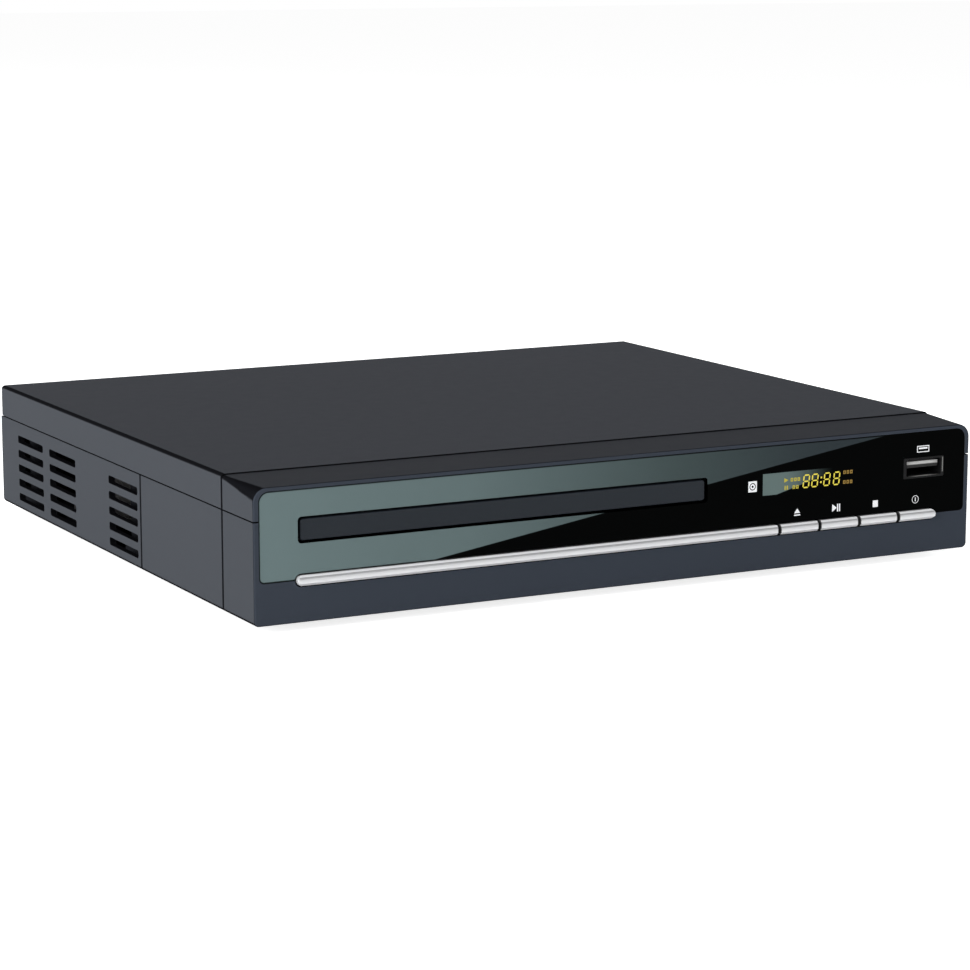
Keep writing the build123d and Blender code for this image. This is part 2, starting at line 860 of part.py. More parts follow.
def make_loader_frame():
    x = tray_center_x
    body = Part()
    opening_x = deck_half_width + 2.5
    body += block(x - frame_outer, x + frame_outer, frame_y0, frame_y1, frame_bottom, frame_floor)
    body -= block(x - opening_x, x + opening_x, deck_y0 - 1.4, deck_y1 + 2.0, frame_bottom - 1, frame_floor + 1)
    for side in (-1, 1):
        rail = block(frame_inner, frame_outer, frame_y0, frame_y1, frame_bottom, bridge_bottom)
        ledge = block(frame_inner - ledge_width, frame_inner, frame_y0, frame_y1, ledge_top - 2.0, ledge_top)
        lip = block(tray_half - 2.0, frame_inner, frame_y0, frame_y0 + 26.0, tray_top + tray_run_clearance,
                    bridge_bottom)
        bracket = block(frame_outer, frame_outer + lug_width, spindle_y - 9, spindle_y + 9,
                        bridge_bottom - 7.0, bridge_bottom)
        bracket -= post(frame_outer + lug_width / 2, spindle_y, bridge_bottom - 6.0, bridge_bottom + 1, screw_shank)
        pivot = block(opening_x, opening_x + 4.0, pivot_y - 4.5, pivot_y + 4.5, frame_floor, pivot_z + 4.0)
        pivot -= along_x(pivot_y, pivot_z, opening_x - 1, opening_x + 5, pivot_radius + running_clearance)
        rib = block(opening_x + 4.0, frame_inner, pivot_y - 1, pivot_y + 1, frame_floor, pivot_z)
        for piece in (rail, ledge, lip, bracket, pivot, rib):
            body += Pos(x, 0, 0) * (piece if side > 0 else mirror(piece, Plane.YZ))
    for lug_x, lug_y in loader_lug_places():
        inward = -1 if lug_x > x else 1
        near = lug_x + inward * lug_width / 2
        far = lug_x - inward * lug_width / 2
        body += block(min(near, far), max(near, far), lug_y - lug_length / 2, lug_y + lug_length / 2,
                      frame_bottom, frame_floor)
        body -= post(lug_x, lug_y, frame_bottom - 1, frame_floor + 1, screw_shank + fit)
    front_wall_top = rack_bottom - 0.4
    body += block(x - frame_outer, x + frame_outer, frame_y0, frame_y0 + frame_wall, frame_bottom, front_wall_top)
    body += block(x - frame_outer, x + frame_outer, frame_y1 - frame_wall, frame_y1, frame_bottom, bridge_bottom)
    body += post(drive_x, drive_y, frame_floor, drive_gear_z + drive_gear_width, axle_radius)
    body += post(drive_x, drive_y, frame_floor, wheel_z - 0.2, axle_radius + 1.5)
    body += post(pulley_x, drive_y, frame_floor, belt_z + 3.0, axle_radius)
    body += post(pulley_x, drive_y, frame_floor, wheel_z - 0.2, axle_radius + 1.5)
    guide_y = deck_y0 - 3.0 - cam_thickness
    guide_top = peg_z - peg_fall - peg_radius - 0.3
    body += block(x - 40, x + 55, guide_y - 1.8, guide_y - 0.3, frame_floor, guide_top)
    body += block(x - 40, x + 55, guide_y + cam_thickness + 0.3, deck_y0 - 1.4, frame_floor, frame_floor + 1.0)
    return body


def make_drive_gear():
    """Upper gear for the rack and lower wheel for the pinion, on one hub."""
    z = wheel_z
    body = flat_plate(gear_outline(wheel_teeth, wheel_module, 0), z, z + gear_width)
    body += post(0, 0, z, drive_gear_z, 5.0)
    body += flat_plate(gear_outline(drive_teeth, rack_module, 0), drive_gear_z, drive_gear_z + drive_gear_width)
    for i in range(4):
        angle = math.radians(45 + 90 * i)
        body -= post(9.3 * math.cos(angle), 9.3 * math.sin(angle), z - 1, z + gear_width + 1, 3.0)
    body -= post(0, 0, z - 1, rack_bottom + 9, axle_radius + running_clearance)
    return Pos(drive_x, drive_y, 0) * body


def pulley(radius, groove):
    """A grooved wheel for the belt, about its own centre."""
    rim = 0.8
    half_width = belt_size / 2 + rim
    body = Cylinder(radius, 2 * half_width)
    ring = Cylinder(radius + 1, belt_size + 0.2) - Cylinder(groove, belt_size + 0.2)
    return body - ring


def make_pulley_gear():
    z = wheel_z
    body = flat_plate(gear_outline(pinion_teeth, wheel_module, 180 / pinion_teeth), z, belt_z - 1.5)
    body += Pos(0, 0, belt_z) * pulley(pulley_radius, pulley_radius - 1.4)
    body -= post(0, 0, z - 1, belt_z + 9, axle_radius + running_clearance)
    return Pos(pulley_x, drive_y, 0) * body


def make_motor_pulley():
    body = Pos(0, 0, belt_z) * pulley(motor_pulley_radius, motor_pulley_radius - 1.0)
    body -= post(0, 0, belt_z - 5, belt_z + 5, 1.0 + running_clearance)
    return Pos(motor_x, drive_y, 0) * body


def belt_loop(offset):
    """The outline of a band round both pulleys."""
    big = pulley_radius - 1.4 + offset
    small = motor_pulley_radius - 1.0 + offset
    lean = math.asin((big - small) / motor_offset)
    up = (math.sin(lean), math.cos(lean))
    far = Circle(big) + Pos(-motor_offset, 0) * Circle(small)
    points = ((-big * up[0], big * up[1]), (-motor_offset - small * up[0], small * up[1]),
              (-motor_offset - small * up[0], -small * up[1]), (-big * up[0], -big * up[1]))
    return far + Polygon(*points, align=None)


def make_drive_belt():
    z0 = belt_z - belt_size / 2
    z1 = belt_z + belt_size / 2
    body = flat_plate(belt_loop(running_clearance + belt_size), z0, z1)
    body -= flat_plate(belt_loop(running_clearance), z0 - 1, z1 + 1)
    return Pos(pulley_x, drive_y, 0) * body


def make_tray_motor():
    z1 = frame_floor + tray_motor_height
    can = post(motor_x, drive_y, frame_floor, z1, tray_motor_radius)
    can = fillet(can.edges().sort_by(Axis.Z)[-1], 1.0)
    return can + post(motor_x, drive_y, z1, z1 + 0.5, 3.0) + post(motor_x, drive_y, z1, belt_z + 2.0, 1.0)


def make_cam_slider():
    """A sliding plate whose slanted slot raises and lowers the traverse's peg."""
    x = tray_center_x
    y1 = deck_y0 - 3.0
    y0 = y1 - cam_thickness
    plate = block(x - 26, x + 34, y0, y1, frame_floor + fit, peg_z + 3.6)
    slope = math.degrees(math.atan2(peg_fall, cam_travel))
    run = math.hypot(peg_fall, cam_travel)
    track = SlotCenterToCenter(run + 1.0, 2 * peg_radius + 0.6)
    track = Pos(x - cam_travel / 2, peg_z - peg_fall / 2) * Rot(0, 0, slope) * track
    plate -= front_plate(track, y0 - 1, y1 + 1)
    plate -= front_plate(rounded(x + 20.0, peg_z - 2.0, 18.0, 4.0, 1.5), y0 - 1, y1 + 1)
    return plate


def make_clamp_bridge():
    x = tray_center_x
    reach = frame_outer + lug_width
    y0 = spindle_y - bridge_width / 2
    y1 = spindle_y + bridge_width / 2
    z1 = bridge_bottom + bridge_thickness
    body = block(x - reach, x + reach, y0, y1, bridge_bottom, z1)
    body += block(x - reach + 12, x + reach - 12, y0, y0 + bridge_thickness, z1, z1 + bridge_flange)
    body += block(x - reach + 12, x + reach - 12, y1 - bridge_thickness, y1, z1, z1 + bridge_flange)
    body -= post(x, spindle_y, bridge_bottom - 1, z1 + 1, puck_radius + 1.5)
    for side in (-1, 1):
        hole_x = x + side * (frame_outer + lug_width / 2)
        body -= post(hole_x, spindle_y, bridge_bottom - 1, z1 + 1, screw_shank + fit)
        body -= post(x + side * 40.0, spindle_y, bridge_bottom - 1, z1 + 1, 9.0)
    return body


def make_clamp_puck():
    x = tray_center_x
    flange_z = bridge_bottom + bridge_thickness + fit
    body = post(x, spindle_y, puck_bottom, flange_z, puck_radius)
    body += post(x, spindle_y, flange_z, flange_z + puck_flange_height, puck_flange_radius)
    body += post(x, spindle_y, flange_z, flange_z + puck_flange_height + 1.2, 5.0)
    return body - post(x, spindle_y, puck_bottom - 1, hub_top + 0.8, hub_radius + 1.2)


def rod_post(x, y0, y1, offset, z, radius):
    """A block under the deck with a bore for a rod or screw."""
    holder = block(x + offset - 3.2, x + offset + 3.2, y0, y1, z - 3.0, deck_bottom)
    return holder - along_y(x + offset, z, y0 - 1, y1 + 1, radius + running_clearance)


def make_traverse_deck():
    x = tray_center_x
    body = block(x - deck_half_width, x + deck_half_width, deck_y0, deck_y1, deck_bottom, deck_top)
    body = fillet(body.edges().filter_by(Axis.Z), 3.0)
    body -= block(x - 33, x + 33, lens_y - 11.0, lens_y + sled_travel + 17.0, deck_bottom - 1, deck_top + 1)
    body -= post(x, spindle_y, deck_bottom - 1, deck_top + 1, 4.0)
    low = deck_bottom - deck_flange_height
    for side in (-1, 1):
        flange = block(deck_half_width - 2, deck_half_width, deck_y0 + 7, deck_y1 - 3, low, deck_bottom)
        pin = along_x(pivot_y, pivot_z, deck_half_width - 1, deck_half_width + 6.2, pivot_radius)
        for piece in (flange, pin):
            body += Pos(x, 0, 0) * (piece if side > 0 else mirror(piece, Plane.YZ))
        near = rod_post(x, spindle_y + 8.6, spindle_y + 12.4, side * rod_offset, rod_z, rod_radius)
        far_y = lens_y + sled_travel + 18.0
        body += near + rod_post(x, far_y, far_y + 4.0, side * rod_offset, rod_z, rod_radius)
    far_y = lens_y + sled_travel + 18.0
    body += rod_post(x, far_y, far_y + 4.0, screw_offset, screw_z, 1.0)
    body += block(x - 16, x + 16, deck_y0, deck_y0 + 2.0, low, deck_bottom)
    body += along_y(x, peg_z, deck_y0 - 6.2, deck_y0 + 1.0, peg_radius)
    return body


def make_spindle_motor():
    x = tray_center_x
    can = post(x, spindle_y, deck_bottom - spindle_motor_height, deck_bottom, spindle_motor_radius)
    can = fillet(can.edges().sort_by(Axis.Z)[0], 1.0)
    boss_ring = post(x, spindle_y, deck_bottom, deck_top + 1.0, 3.6)
    bore = post(x, spindle_y, deck_bottom - spindle_motor_height + 1, deck_top + 2,
                spindle_shaft_radius + running_clearance)
    return can + boss_ring - bore


def make_turntable():
    x = tray_center_x
    low = seat - turntable_thickness
    body = post(x, spindle_y, low, seat, turntable_radius)
    body -= post(x, spindle_y, seat - 0.4, seat + 1, turntable_radius - 3.5)
    body += post(x, spindle_y, seat - 1.0, seat, hub_radius)
    body += Pos(x, spindle_y, seat + hub_height / 2) * Cone(hub_radius, hub_radius - 1.6, hub_height)
    body += post(x, spindle_y, deck_bottom - spindle_motor_height + 1.5, low, spindle_shaft_radius)
    return body


def make_pickup_sled():
    x = tray_center_x
    body = block(x - 27.5, x + 27.5, lens_y - 10.2, lens_y + 13, rod_z - 4.0, tray_bottom - 1.0)
    body = fillet(body.edges().filter_by(Axis.Z), 2.0)
    body += block(x - 16, x + 16, lens_y - 9, lens_y + 13, tray_bottom - 1.2, seat - 2.1)
    well_x = lens_half_x + lens_clearance
    well_y = lens_half_y + lens_clearance
    well_bottom = seat - lens_holder_bottom - focus_travel - lens_clearance
    body -= block(x - well_x, x + well_x, lens_y - well_y, lens_y + well_y, well_bottom, seat + 1)
    for side in (-1, 1):
        body -= along_y(x + side * rod_offset, rod_z, lens_y - 20, lens_y + 20, rod_radius + running_clearance)
    nut = block(x + 27.0, x + 39.0, lens_y - 2, lens_y + 8, screw_z - 2.6, deck_bottom - 0.5)
    nut -= along_y(x + screw_offset, screw_z, lens_y - 9, lens_y + 19, screw_radius + nut_clearance)
    return body + nut


def make_objective_lens():
    x = tray_center_x
    z0 = seat - lens_holder_bottom
    z1 = seat - lens_holder_top
    holder = block(x - lens_half_x, x + lens_half_x, lens_y - lens_half_y, lens_y + lens_half_y, z0, z1)
    holder = fillet(holder.edges().filter_by(Axis.Z), 1.0)
    dome = Pos(x, lens_y, z1 - 4.3) * Sphere(5.0) & post(x, lens_y, z1 - 0.5, z1 + 2, 2.7)
    return holder + dome


def make_guide_rods():
    y0 = spindle_y + 8.8
    y1 = lens_y + sled_travel + 21.8
    rods = [along_y(tray_center_x + side * rod_offset, rod_z, y0, y1, rod_radius).solid() for side in (-1, 1)]
    return Compound(rods)


def make_feed_screw():
    x = tray_center_x + screw_offset
    y0 = spindle_y - 8 + sled_motor_length + fit
    y1 = lens_y + sled_travel + 17.7
    body = along_y(x, screw_z, y0, y1, screw_radius)
    groove_count = int((y1 - y0 - 8) / screw_lead)
    for i in range(groove_count):
        y = y0 + 5 + i * screw_lead
        body -= along_y(x, screw_z, y, y + 0.8, screw_radius + 1) - along_y(x, screw_z, y, y + 0.8, screw_radius - 0.3)
    return body + along_y(x, screw_z, y1, y1 + 4.0, 1.0)


def make_sled_motor():
    x = tray_center_x + screw_offset
    y0 = spindle_y - 8
    can = along_y(x, screw_z, y0, y0 + sled_motor_length, sled_motor_radius)
    cradle = block(x - 3.0, x + 3.0, y0 + 1, y0 + sled_motor_length - 1, screw_z, deck_bottom)
    return can + cradle


def make_front_board():
    body = block(front_board_left, half - 3.0, front_board_y, front_board_y + board_thickness,
                 front_board_bottom, front_board_top)
    size = (data_lip_width + 0.9, data_lip_height + 1.2)
    body -= front_plate(rounded(data_center, data_z, *size, 0.4), front_board_y - 1, front_board_y + 3)
    for x, z in front_board_bosses():
        body -= along_y(x, z, front_board_y - 1, front_board_y + 3, screw_shank + fit)
    return body


def make_display_module():
    y0 = front + recess_depth + 0.3
    half_width = display_width / 2
    half_height = display_height / 2
    return block(display_center - half_width, display_center + half_width, y0, front_board_y,
                 slot_z - half_height, slot_z + half_height)


def make_ir_receiver():
    y0 = front + bezel_wall + 0.3
    body = block(ir_center - ir_width / 2, ir_center + ir_width / 2, y0, front_board_y,
                 slot_z - ir_height / 2, slot_z + ir_height / 2)
    return body + along_y(ir_center, slot_z, front + recess_depth + 0.3, y0, ir_lens_radius)


def socket_shell(x, z, y0, y1, bore_x, bore_z, radius):
    """A thin rectangular metal tube round a socket."""
    outer = rounded(x, z, bore_x + 2 * data_socket_shell, bore_z + 2 * data_socket_shell, radius + data_socket_shell)
    return front_plate(outer, y0, y1) - front_plate(rounded(x, z, bore_x, bore_z, radius), y0 - 1, y1 + 1)


def make_data_socket_shell():
    y0 = front + data_setback
    y1 = y0 + data_length
    body = socket_shell(data_center, data_z, y0, y1, data_bore_width, data_bore_height, 0.4)
    body += front_plate(rounded(data_center, data_z, data_bore_width, data_bore_height, 0.4), y1 - 0.4, y1)
    lip = rounded(data_center, data_z, data_lip_width, data_lip_height, 0.45)
    lip -= rounded(data_center, data_z, data_bore_width, data_bore_height, 0.4)
    return body + front_plate(lip, y0, y0 + 0.6)


def make_data_socket_tongue():
    y0 = front + data_setback + 0.9
    y1 = front + data_setback + data_length - 0.4
    z1 = data_z + data_bore_height / 2 - 0.7
    body = block(data_center - 5.55, data_center + 5.55, y0, y1, z1 - 1.84, z1)
    rear_x = data_bore_width / 2 - 0.2
    rear_z = data_bore_height / 2 - 0.2
    body += block(data_center - rear_x, data_center + rear_x, y1 - 3.0, y1, data_z - rear_z, data_z + rear_z)
    for i in range(4):
        x = data_center - 3.5 + i * 7.0 / 3
        body += block(x - 0.5, x + 0.5, y0 + 0.6, y1 - 3, z1 - 1.99, z1 - 1.84)
    return body


def make_main_board():
    """The rear board and the strip beside the loader, in one piece."""
    y1 = panel_y0 - 0.4
    body = block(main_board_left, side_board_x1, main_board_y0, y1, board_bottom, board_top)
    body += block(side_board_x0, side_board_x1, side_board_y0, y1, board_bottom, board_top)
    for x, y in main_board_bosses():
        body -= post(x, y, board_bottom - 1, board_top + 1, screw_shank + fit)
    return body


def make_decoder_chip():
    x = side_board_middle
    y = chip_y
    reach = chip_size / 2
    pin_x = reach + chip_pin_reach
    body = block(x - reach, x + reach, y - reach, y + reach, board_top, board_top + chip_height)
    pin_count = int(chip_size) - 2
    for i in range(pin_count):
        pin_y = y - (pin_count - 1) / 2 + i
        body += block(x - pin_x, x + pin_x, pin_y - 0.2, pin_y + 0.2, board_top, board_top + 0.4)
    return body


def make_heat_sink():
    x = side_board_middle
    y = chip_y
    reach = chip_size / 2 - 0.5
    z0 = board_top + chip_height
    base_top = z0 + 1.5
    body = block(x - reach, x + reach, y - reach, y + reach, z0, base_top)
    fin_count = 6
    fin_half = 0.5
    fin_pitch = 2 * (reach - fin_half) / (fin_count - 1)
    for i in range(fin_count):
        fin_y = y - reach + fin_half + i * fin_pitch
        body += block(x - reach, x + reach, fin_y - fin_half, fin_y + fin_half, base_top, base_top + 7.5)
    return body


def make_memory_chips():
    x = side_board_middle
    chips = []
    for offset_y in memory_offsets:
        y = side_board_y0 + offset_y
        chips.append(block(x - 7, x + 7, y - 3, y + 3, board_top, board_top + 1.2).solid())
    return Compound(chips)


def capacitor(x, y, radius, height):
    body = post(x, y, board_top, board_top + height, radius)
    return fillet(body.edges().sort_by(Axis.Z)[-1], 0.6).solid()


def make_board_capacitors():
    y = front + capacitor_depth
    inset = capacitor_radius + 1.5
    places = [(side_board_middle, side_board_y0 + side_capacitor_offset),
              ((jack_xs[0] + coax_jack_center) / 2 - 1.0, main_board_y0 + capacitor_radius + 1.5),
              (power_board_x0 + inset, y), (power_board_x1 - inset, y)]
    cans = [capacitor(*place, capacitor_radius, capacitor_height) for place in places]
    big_y = front + big_capacitor_depth
    cans.append(capacitor(power_board_middle, big_y, big_capacitor_radius, big_capacitor_height))
    return Compound(cans)


def make_power_board():
    body = block(power_board_x0, power_board_x1, front + power_board_depth, panel_y0 - 0.4, board_bottom,
                 board_top)
    for x, y in power_board_bosses():
        body -= post(x, y, board_bottom - 1, board_top + 1, screw_shank + fit)
    return body


def make_transformer_core():
    """Ferrite frame with a middle leg, on the bobbin's foot."""
    x = power_board_middle
    y = front + transformer_depth
    z = board_top
    thick = core_thickness / 2
    core = block(x - thick, x + thick, y - core_length / 2, y + core_length / 2, z + core_bottom, z + core_top)
    window_y = core_leg + core_window / 2
    for side in (-1, 1):
        low = y + side * window_y - core_window / 2
        core -= block(x - thick - 1, x + thick + 1, low, low + core_window, z + core_bottom + core_leg,
                      z + core_top - core_leg)
    return core + block(x - 8, x + 8, y - 10, y + 10, z, z + core_bottom)


def make_transformer_coil():
    """The taped winding round the core's middle leg."""
    x = power_board_middle
    y = front + transformer_depth
    z = board_top
    outer_x = core_thickness / 2 + 4.0
    outer_y = core_leg + core_window - 0.2
    inner_x = core_thickness / 2 + coil_clearance
    inner_y = core_leg + coil_clearance
    gap = core_leg + 0.3
    coil = block(x - outer_x, x + outer_x, y - outer_y, y + outer_y, z + core_bottom + gap, z + core_top - gap)
    coil = fillet(coil.edges().filter_by(Axis.Z), 2.0)
    return coil - block(x - inner_x, x + inner_x, y - inner_y, y + inner_y, z, z + core_top)


def make_fuse():
    """A glass fuse that lies across the board in two clips."""
    y = front + fuse_depth
    z = board_top + 4.5
    x0 = power_board_middle - 8.5
    x1 = power_board_middle + 8.5
    body = along_x(y, z, x0 + 3, x1 - 3, 2.2) + along_x(y, z, x0, x0 + 3, 2.6) + along_x(y, z, x1 - 3, x1, 2.6)
    for x in (x0 + 1.5, x1 - 1.5):
        body += block(x - 1, x + 1, y - 2.8, y + 2.8, board_top, board_top + 2.4)
    return body


def inlet_outline(extra):
    """Two overlapping circles, as the mains socket's mouth has."""
    length = 2 * (inlet_half_pitch + inlet_round + extra)
    return Pos(inlet_center, inlet_height) * SlotOverall(length, 2 * (inlet_round + extra))


def make_mains_inlet():
    flange = rounded(inlet_center, inlet_height, 24.0, 15.0, 2.0)
    body = front_plate(flange, panel_y1, inlet_y1)
    body += front_plate(inlet_outline(1.8), inlet_y0, inlet_y1)
    body += block(inlet_center - 9, inlet_center + 9, inlet_y0, panel_y0 - 1.0, board_top, inlet_height)
    body -= front_plate(inlet_outline(0), inlet_y1 - inlet_depth, inlet_y1 + 1)
    for side in (-1, 1):
        x = inlet_center + side * inlet_half_pitch
        body -= along_y(x, inlet_height, inlet_y0 - 1, inlet_y1, inlet_pin_radius + 0.02)
    return body


def make_mains_pins():
    y1 = inlet_y1 - 2.0
    y0 = inlet_y0 - 1.5
    pins = []
    for side in (-1, 1):
        pin = along_y(inlet_center + side * inlet_half_pitch, inlet_height, y0, y1, inlet_pin_radius)
        pins.append(fillet(pin.edges().sort_by(Axis.Y)[-1], 0.5).solid())
    return Compound(pins)


def make_rear_panel():
    z0 = floor_top + fit
    z1 = ceiling - 0.4
    x1 = half - wall - 0.2
    body = block(-x1, x1, panel_y0, panel_y1, z0, z1)
    for x in jack_xs:
        body -= along_y(x, jack_height, panel_y0 - 1, panel_y1 + 1, jack_collar + 0.2)
    hole = rounded(video_center, jack_height, video_width + 1.4, video_height + 1.4, 1.0)
    body -= front_plate(hole, panel_y0 - 1, panel_y1 + 1)
    body -= front_plate(inlet_outline(2.1), panel_y0 - 1, panel_y1 + 1)
    for x, z in rear_screw_places():
        body -= along_y(x, z, panel_y0 - 1, panel_y1 + 1, screw_shank + fit)
    return body


def make_jack_block():
    """One moulded housing for the three signal jacks and one for the single jack."""
    blocks = []
    y1 = panel_y0 - 0.2
    y0 = y1 - jack_block_depth
    spans = ((jack_xs[0] - 6, jack_xs[2] + 6), (jack_xs[3] - 6, jack_xs[3] + 6))
    for x0, x1 in spans:
        body = block(x0, x1, y0, y1, board_top, jack_height + 6.0)
        for x in jack_xs:
            if x0 < x < x1:
                body -= along_y(x, jack_height, y1 - 3, y1 + 1, jack_collar + running_clearance)
        blocks.append(body.solid())
    return Compound(blocks)


def make_jack_sleeves():
    y0 = panel_y0 - 3.2
    y1 = panel_y1 + jack_length
    sleeves = []
    for x in jack_xs:
        tube = along_y(x, jack_height, panel_y1, y1, jack_radius)
        tube += along_y(x, jack_height, y0, panel_y1, jack_collar)
        tube -= along_y(x, jack_height, y0 - 1, y1 + 1, jack_bore)
        sleeves.append(tube.solid())
    return Compound(sleeves)


def make_jack_insulator(index):
    x = jack_xs[index]
    y0 = panel_y0 - 3.2
    y1 = panel_y1 + jack_length - 0.8
    body = along_y(x, jack_height, y0, y1, jack_bore - 0.02)
    return body - along_y(x, jack_height, y1 - 7.0, y1 + 1, jack_hole)


def make_video_socket_shell():
    y1 = panel_y1 + 0.6
    y0 = y1 - 11.0
    z0 = jack_height - video_height / 2
    z1 = jack_height + video_height / 2
    x = video_center
    wide = video_width / 2
    points = ((x - wide, z1), (x + wide, z1), (x + wide, z0 + 2.2), (x + wide - 2.0, z0),
              (x - wide + 2.0, z0), (x - wide, z0 + 2.2))
    mouth = Polygon(*points, align=None)
    outer = offset(mouth, data_socket_shell)
    body = front_plate(outer, y0, y1) - front_plate(mouth, y0 + 0.4, y1 + 1)
    return body + block(x - 5, x + 5, y0 + 1, y0 + 4, board_top, z0)


def make_video_socket_tongue():
    y1 = panel_y1 - 0.8
    y0 = panel_y1 + 0.6 - 10.6
    return block(video_center - 6.0, video_center + 6.0, y0, y1, jack_height - 0.6, jack_height + 0.8)


def make_front_ribbon():
    """Flat cable from the front board, down to the floor and back to the main board."""
    z_high = 15.0
    z_low = floor_top + 1.0
    y0 = front_board_y + board_thickness
    y1 = side_board_y0 + 3.0
    path = FilletPolyline((y0, z_high), (y0 + 9, z_high), (y0 + 15, z_low), (y1 - 16, z_low),
                          (y1 - 8, board_top + 1.0), (y1, board_top + 1.0), radius=2.5)
    x0 = side_board_middle - ribbon_width / 2
    x1 = side_board_middle + ribbon_width / 2
    strip = side_plate(trace(path, 0.4), x0, x1)
    plug = block(x0 - 1, x1 + 1, y0, y0 + 4.0, z_high - 1.5, z_high + 1.5)
    socket = block(x0 - 1, x1 + 1, y1 - 2.0, y1 + 3.0, board_top, board_top + 2.6)
    return strip + plug + socket


def make_case_screws():
    screws = [rear_screw(x, rear, z, 6.0) for x, z in rear_screw_places()]
    screws += [up_screw(x, y, base + post_well, 10.0) for x, y in case_post_places()]
    return Compound(screws)


def make_board_screws():
    screws = [down_screw(x, y, board_top, 5.5) for x, y in power_board_bosses() + main_board_bosses()]
    screws += [down_screw(x, y, frame_floor, 4.0) for x, y in loader_lug_places()]
    for side in (-1, 1):
        x = tray_center_x + side * (frame_outer + lug_width / 2)
        screws.append(down_screw(x, spindle_y, bridge_bottom + bridge_thickness, 5.5))
    board_back = front_board_y + board_thickness
    screws += [rear_screw(x, board_back, z, 5.0) for x, z in front_board_bosses()]
    return Compound(screws)


def make_parts():
    bezel = bezel_body()
    parts = {
        "top_cover": make_top_cover(),
        "lower_shell_front": make_lower_shell_front(),
        "lower_shell_rear": make_lower_shell_rear(),
        "rubber_feet": make_rubber_feet(),
        "front_bezel_upper": make_front_bezel_upper(bezel),
        "front_bezel_lower": make_front_bezel_lower(bezel),
        "front_window": make_front_window(),
        "trim_bar": make_trim_bar(),
        "tact_switches": make_tact_switches(),
        "tray_door": make_tray_door(),
        "disc_tray": make_disc_tray(),
        "loader_frame": make_loader_frame(),
        "drive_gear": make_drive_gear(),
        "pulley_gear": make_pulley_gear(),
        "motor_pulley": make_motor_pulley(),
        "drive_belt": make_drive_belt(),
        "tray_motor": make_tray_motor(),
        "cam_slider": make_cam_slider(),
        "clamp_bridge": make_clamp_bridge(),
        "clamp_puck": make_clamp_puck(),
        "traverse_deck": make_traverse_deck(),
        "spindle_motor": make_spindle_motor(),
        "turntable": make_turntable(),
        "pickup_sled": make_pickup_sled(),
        "objective_lens": make_objective_lens(),
        "guide_rods": make_guide_rods(),
        "feed_screw": make_feed_screw(),
        "sled_motor": make_sled_motor(),
        "front_board": make_front_board(),
        "display_module": make_display_module(),
        "ir_receiver": make_ir_receiver(),
        "data_socket_shell": make_data_socket_shell(),
        "data_socket_tongue": make_data_socket_tongue(),
        "main_board": make_main_board(),
        "decoder_chip": make_decoder_chip(),
        "heat_sink": make_heat_sink(),
        "memory_chips": make_memory_chips(),
        "board_capacitors": make_board_capacitors(),
        "power_board": make_power_board(),
        "transformer_core": make_transformer_core(),
        "transformer_coil": make_transformer_coil(),
        "fuse": make_fuse(),
        "mains_inlet": make_mains_inlet(),
        "mains_pins": make_mains_pins(),
        "rear_panel": make_rear_panel(),
        "jack_block": make_jack_block(),
        "jack_sleeves": make_jack_sleeves(),
        "jack_insulator_yellow": make_jack_insulator(0),
        "jack_insulator_white": make_jack_insulator(1),
        "jack_insulator_red": make_jack_insulator(2),
        "jack_insulator_orange": make_jack_insulator(3),
        "video_socket_shell": make_video_socket_shell(),
        "video_socket_tongue": make_video_socket_tongue(),
        "front_ribbon": make_front_ribbon(),
        "case_screws": make_case_screws(),
        "board_screws": make_board_screws(),
    }
    for i, name in enumerate(button_names):
        parts[name] = make_button(i)
    return parts


os.makedirs("parts", exist_ok=True)
for node, shape in make_parts().items():
    export_step(shape, "parts/" + node + ".step")
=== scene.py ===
import math

import bmesh
import bpy
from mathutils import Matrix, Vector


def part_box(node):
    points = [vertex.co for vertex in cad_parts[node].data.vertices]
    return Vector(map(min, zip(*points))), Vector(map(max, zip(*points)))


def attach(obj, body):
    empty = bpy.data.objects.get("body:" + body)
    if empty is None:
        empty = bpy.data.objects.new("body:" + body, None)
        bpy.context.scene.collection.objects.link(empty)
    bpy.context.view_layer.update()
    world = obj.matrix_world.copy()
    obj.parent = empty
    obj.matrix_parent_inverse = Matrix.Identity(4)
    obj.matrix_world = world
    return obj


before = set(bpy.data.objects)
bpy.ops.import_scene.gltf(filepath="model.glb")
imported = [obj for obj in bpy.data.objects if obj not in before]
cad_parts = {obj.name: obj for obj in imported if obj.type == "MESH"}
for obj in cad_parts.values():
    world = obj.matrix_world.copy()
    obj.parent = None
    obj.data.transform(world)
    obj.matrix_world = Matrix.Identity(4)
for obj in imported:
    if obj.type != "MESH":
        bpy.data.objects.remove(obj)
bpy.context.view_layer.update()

bl_info = {
    "name": "Disc Player Finisher",
    "version": (1, 0, 0),
    "blender": (4, 5, 0),
    "location": "View3D > Sidebar > Disc Player",
    "description": "Gives a compact disc player its finishes, its printed symbols and a plain studio",
    "category": "Object",
}

MM = 0.001
CASE_LOW, CASE_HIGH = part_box("lower_shell_front")
COVER_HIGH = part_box("top_cover")[1]
BEZEL_LOW, BEZEL_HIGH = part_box("front_bezel_upper")
SEAM_GAP = 0.4 * MM
# The upright seams behind the bezel and between the two lower shells.
SIDE_SEAMS = (CASE_LOW.y - SEAM_GAP / 2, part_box("lower_shell_rear")[0].y - SEAM_GAP / 2)
WINDOW_LOW, WINDOW_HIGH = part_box("front_window")
ROW = ("trim_bar", "button_eject", "button_play", "button_stop", "button_power")
# Middles of the gaps between neighbours in the row.
ROW_GAPS = [(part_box(left)[1].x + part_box(right)[0].x) / 2 for left, right in zip(ROW, ROW[1:])]
WHITE = (1.0, 1.0, 1.0, 1.0)
# Matt near-black that Nodes.surface paints as shade.
NEAR_BLACK = (0.004, 0.004, 0.005, 1.0)
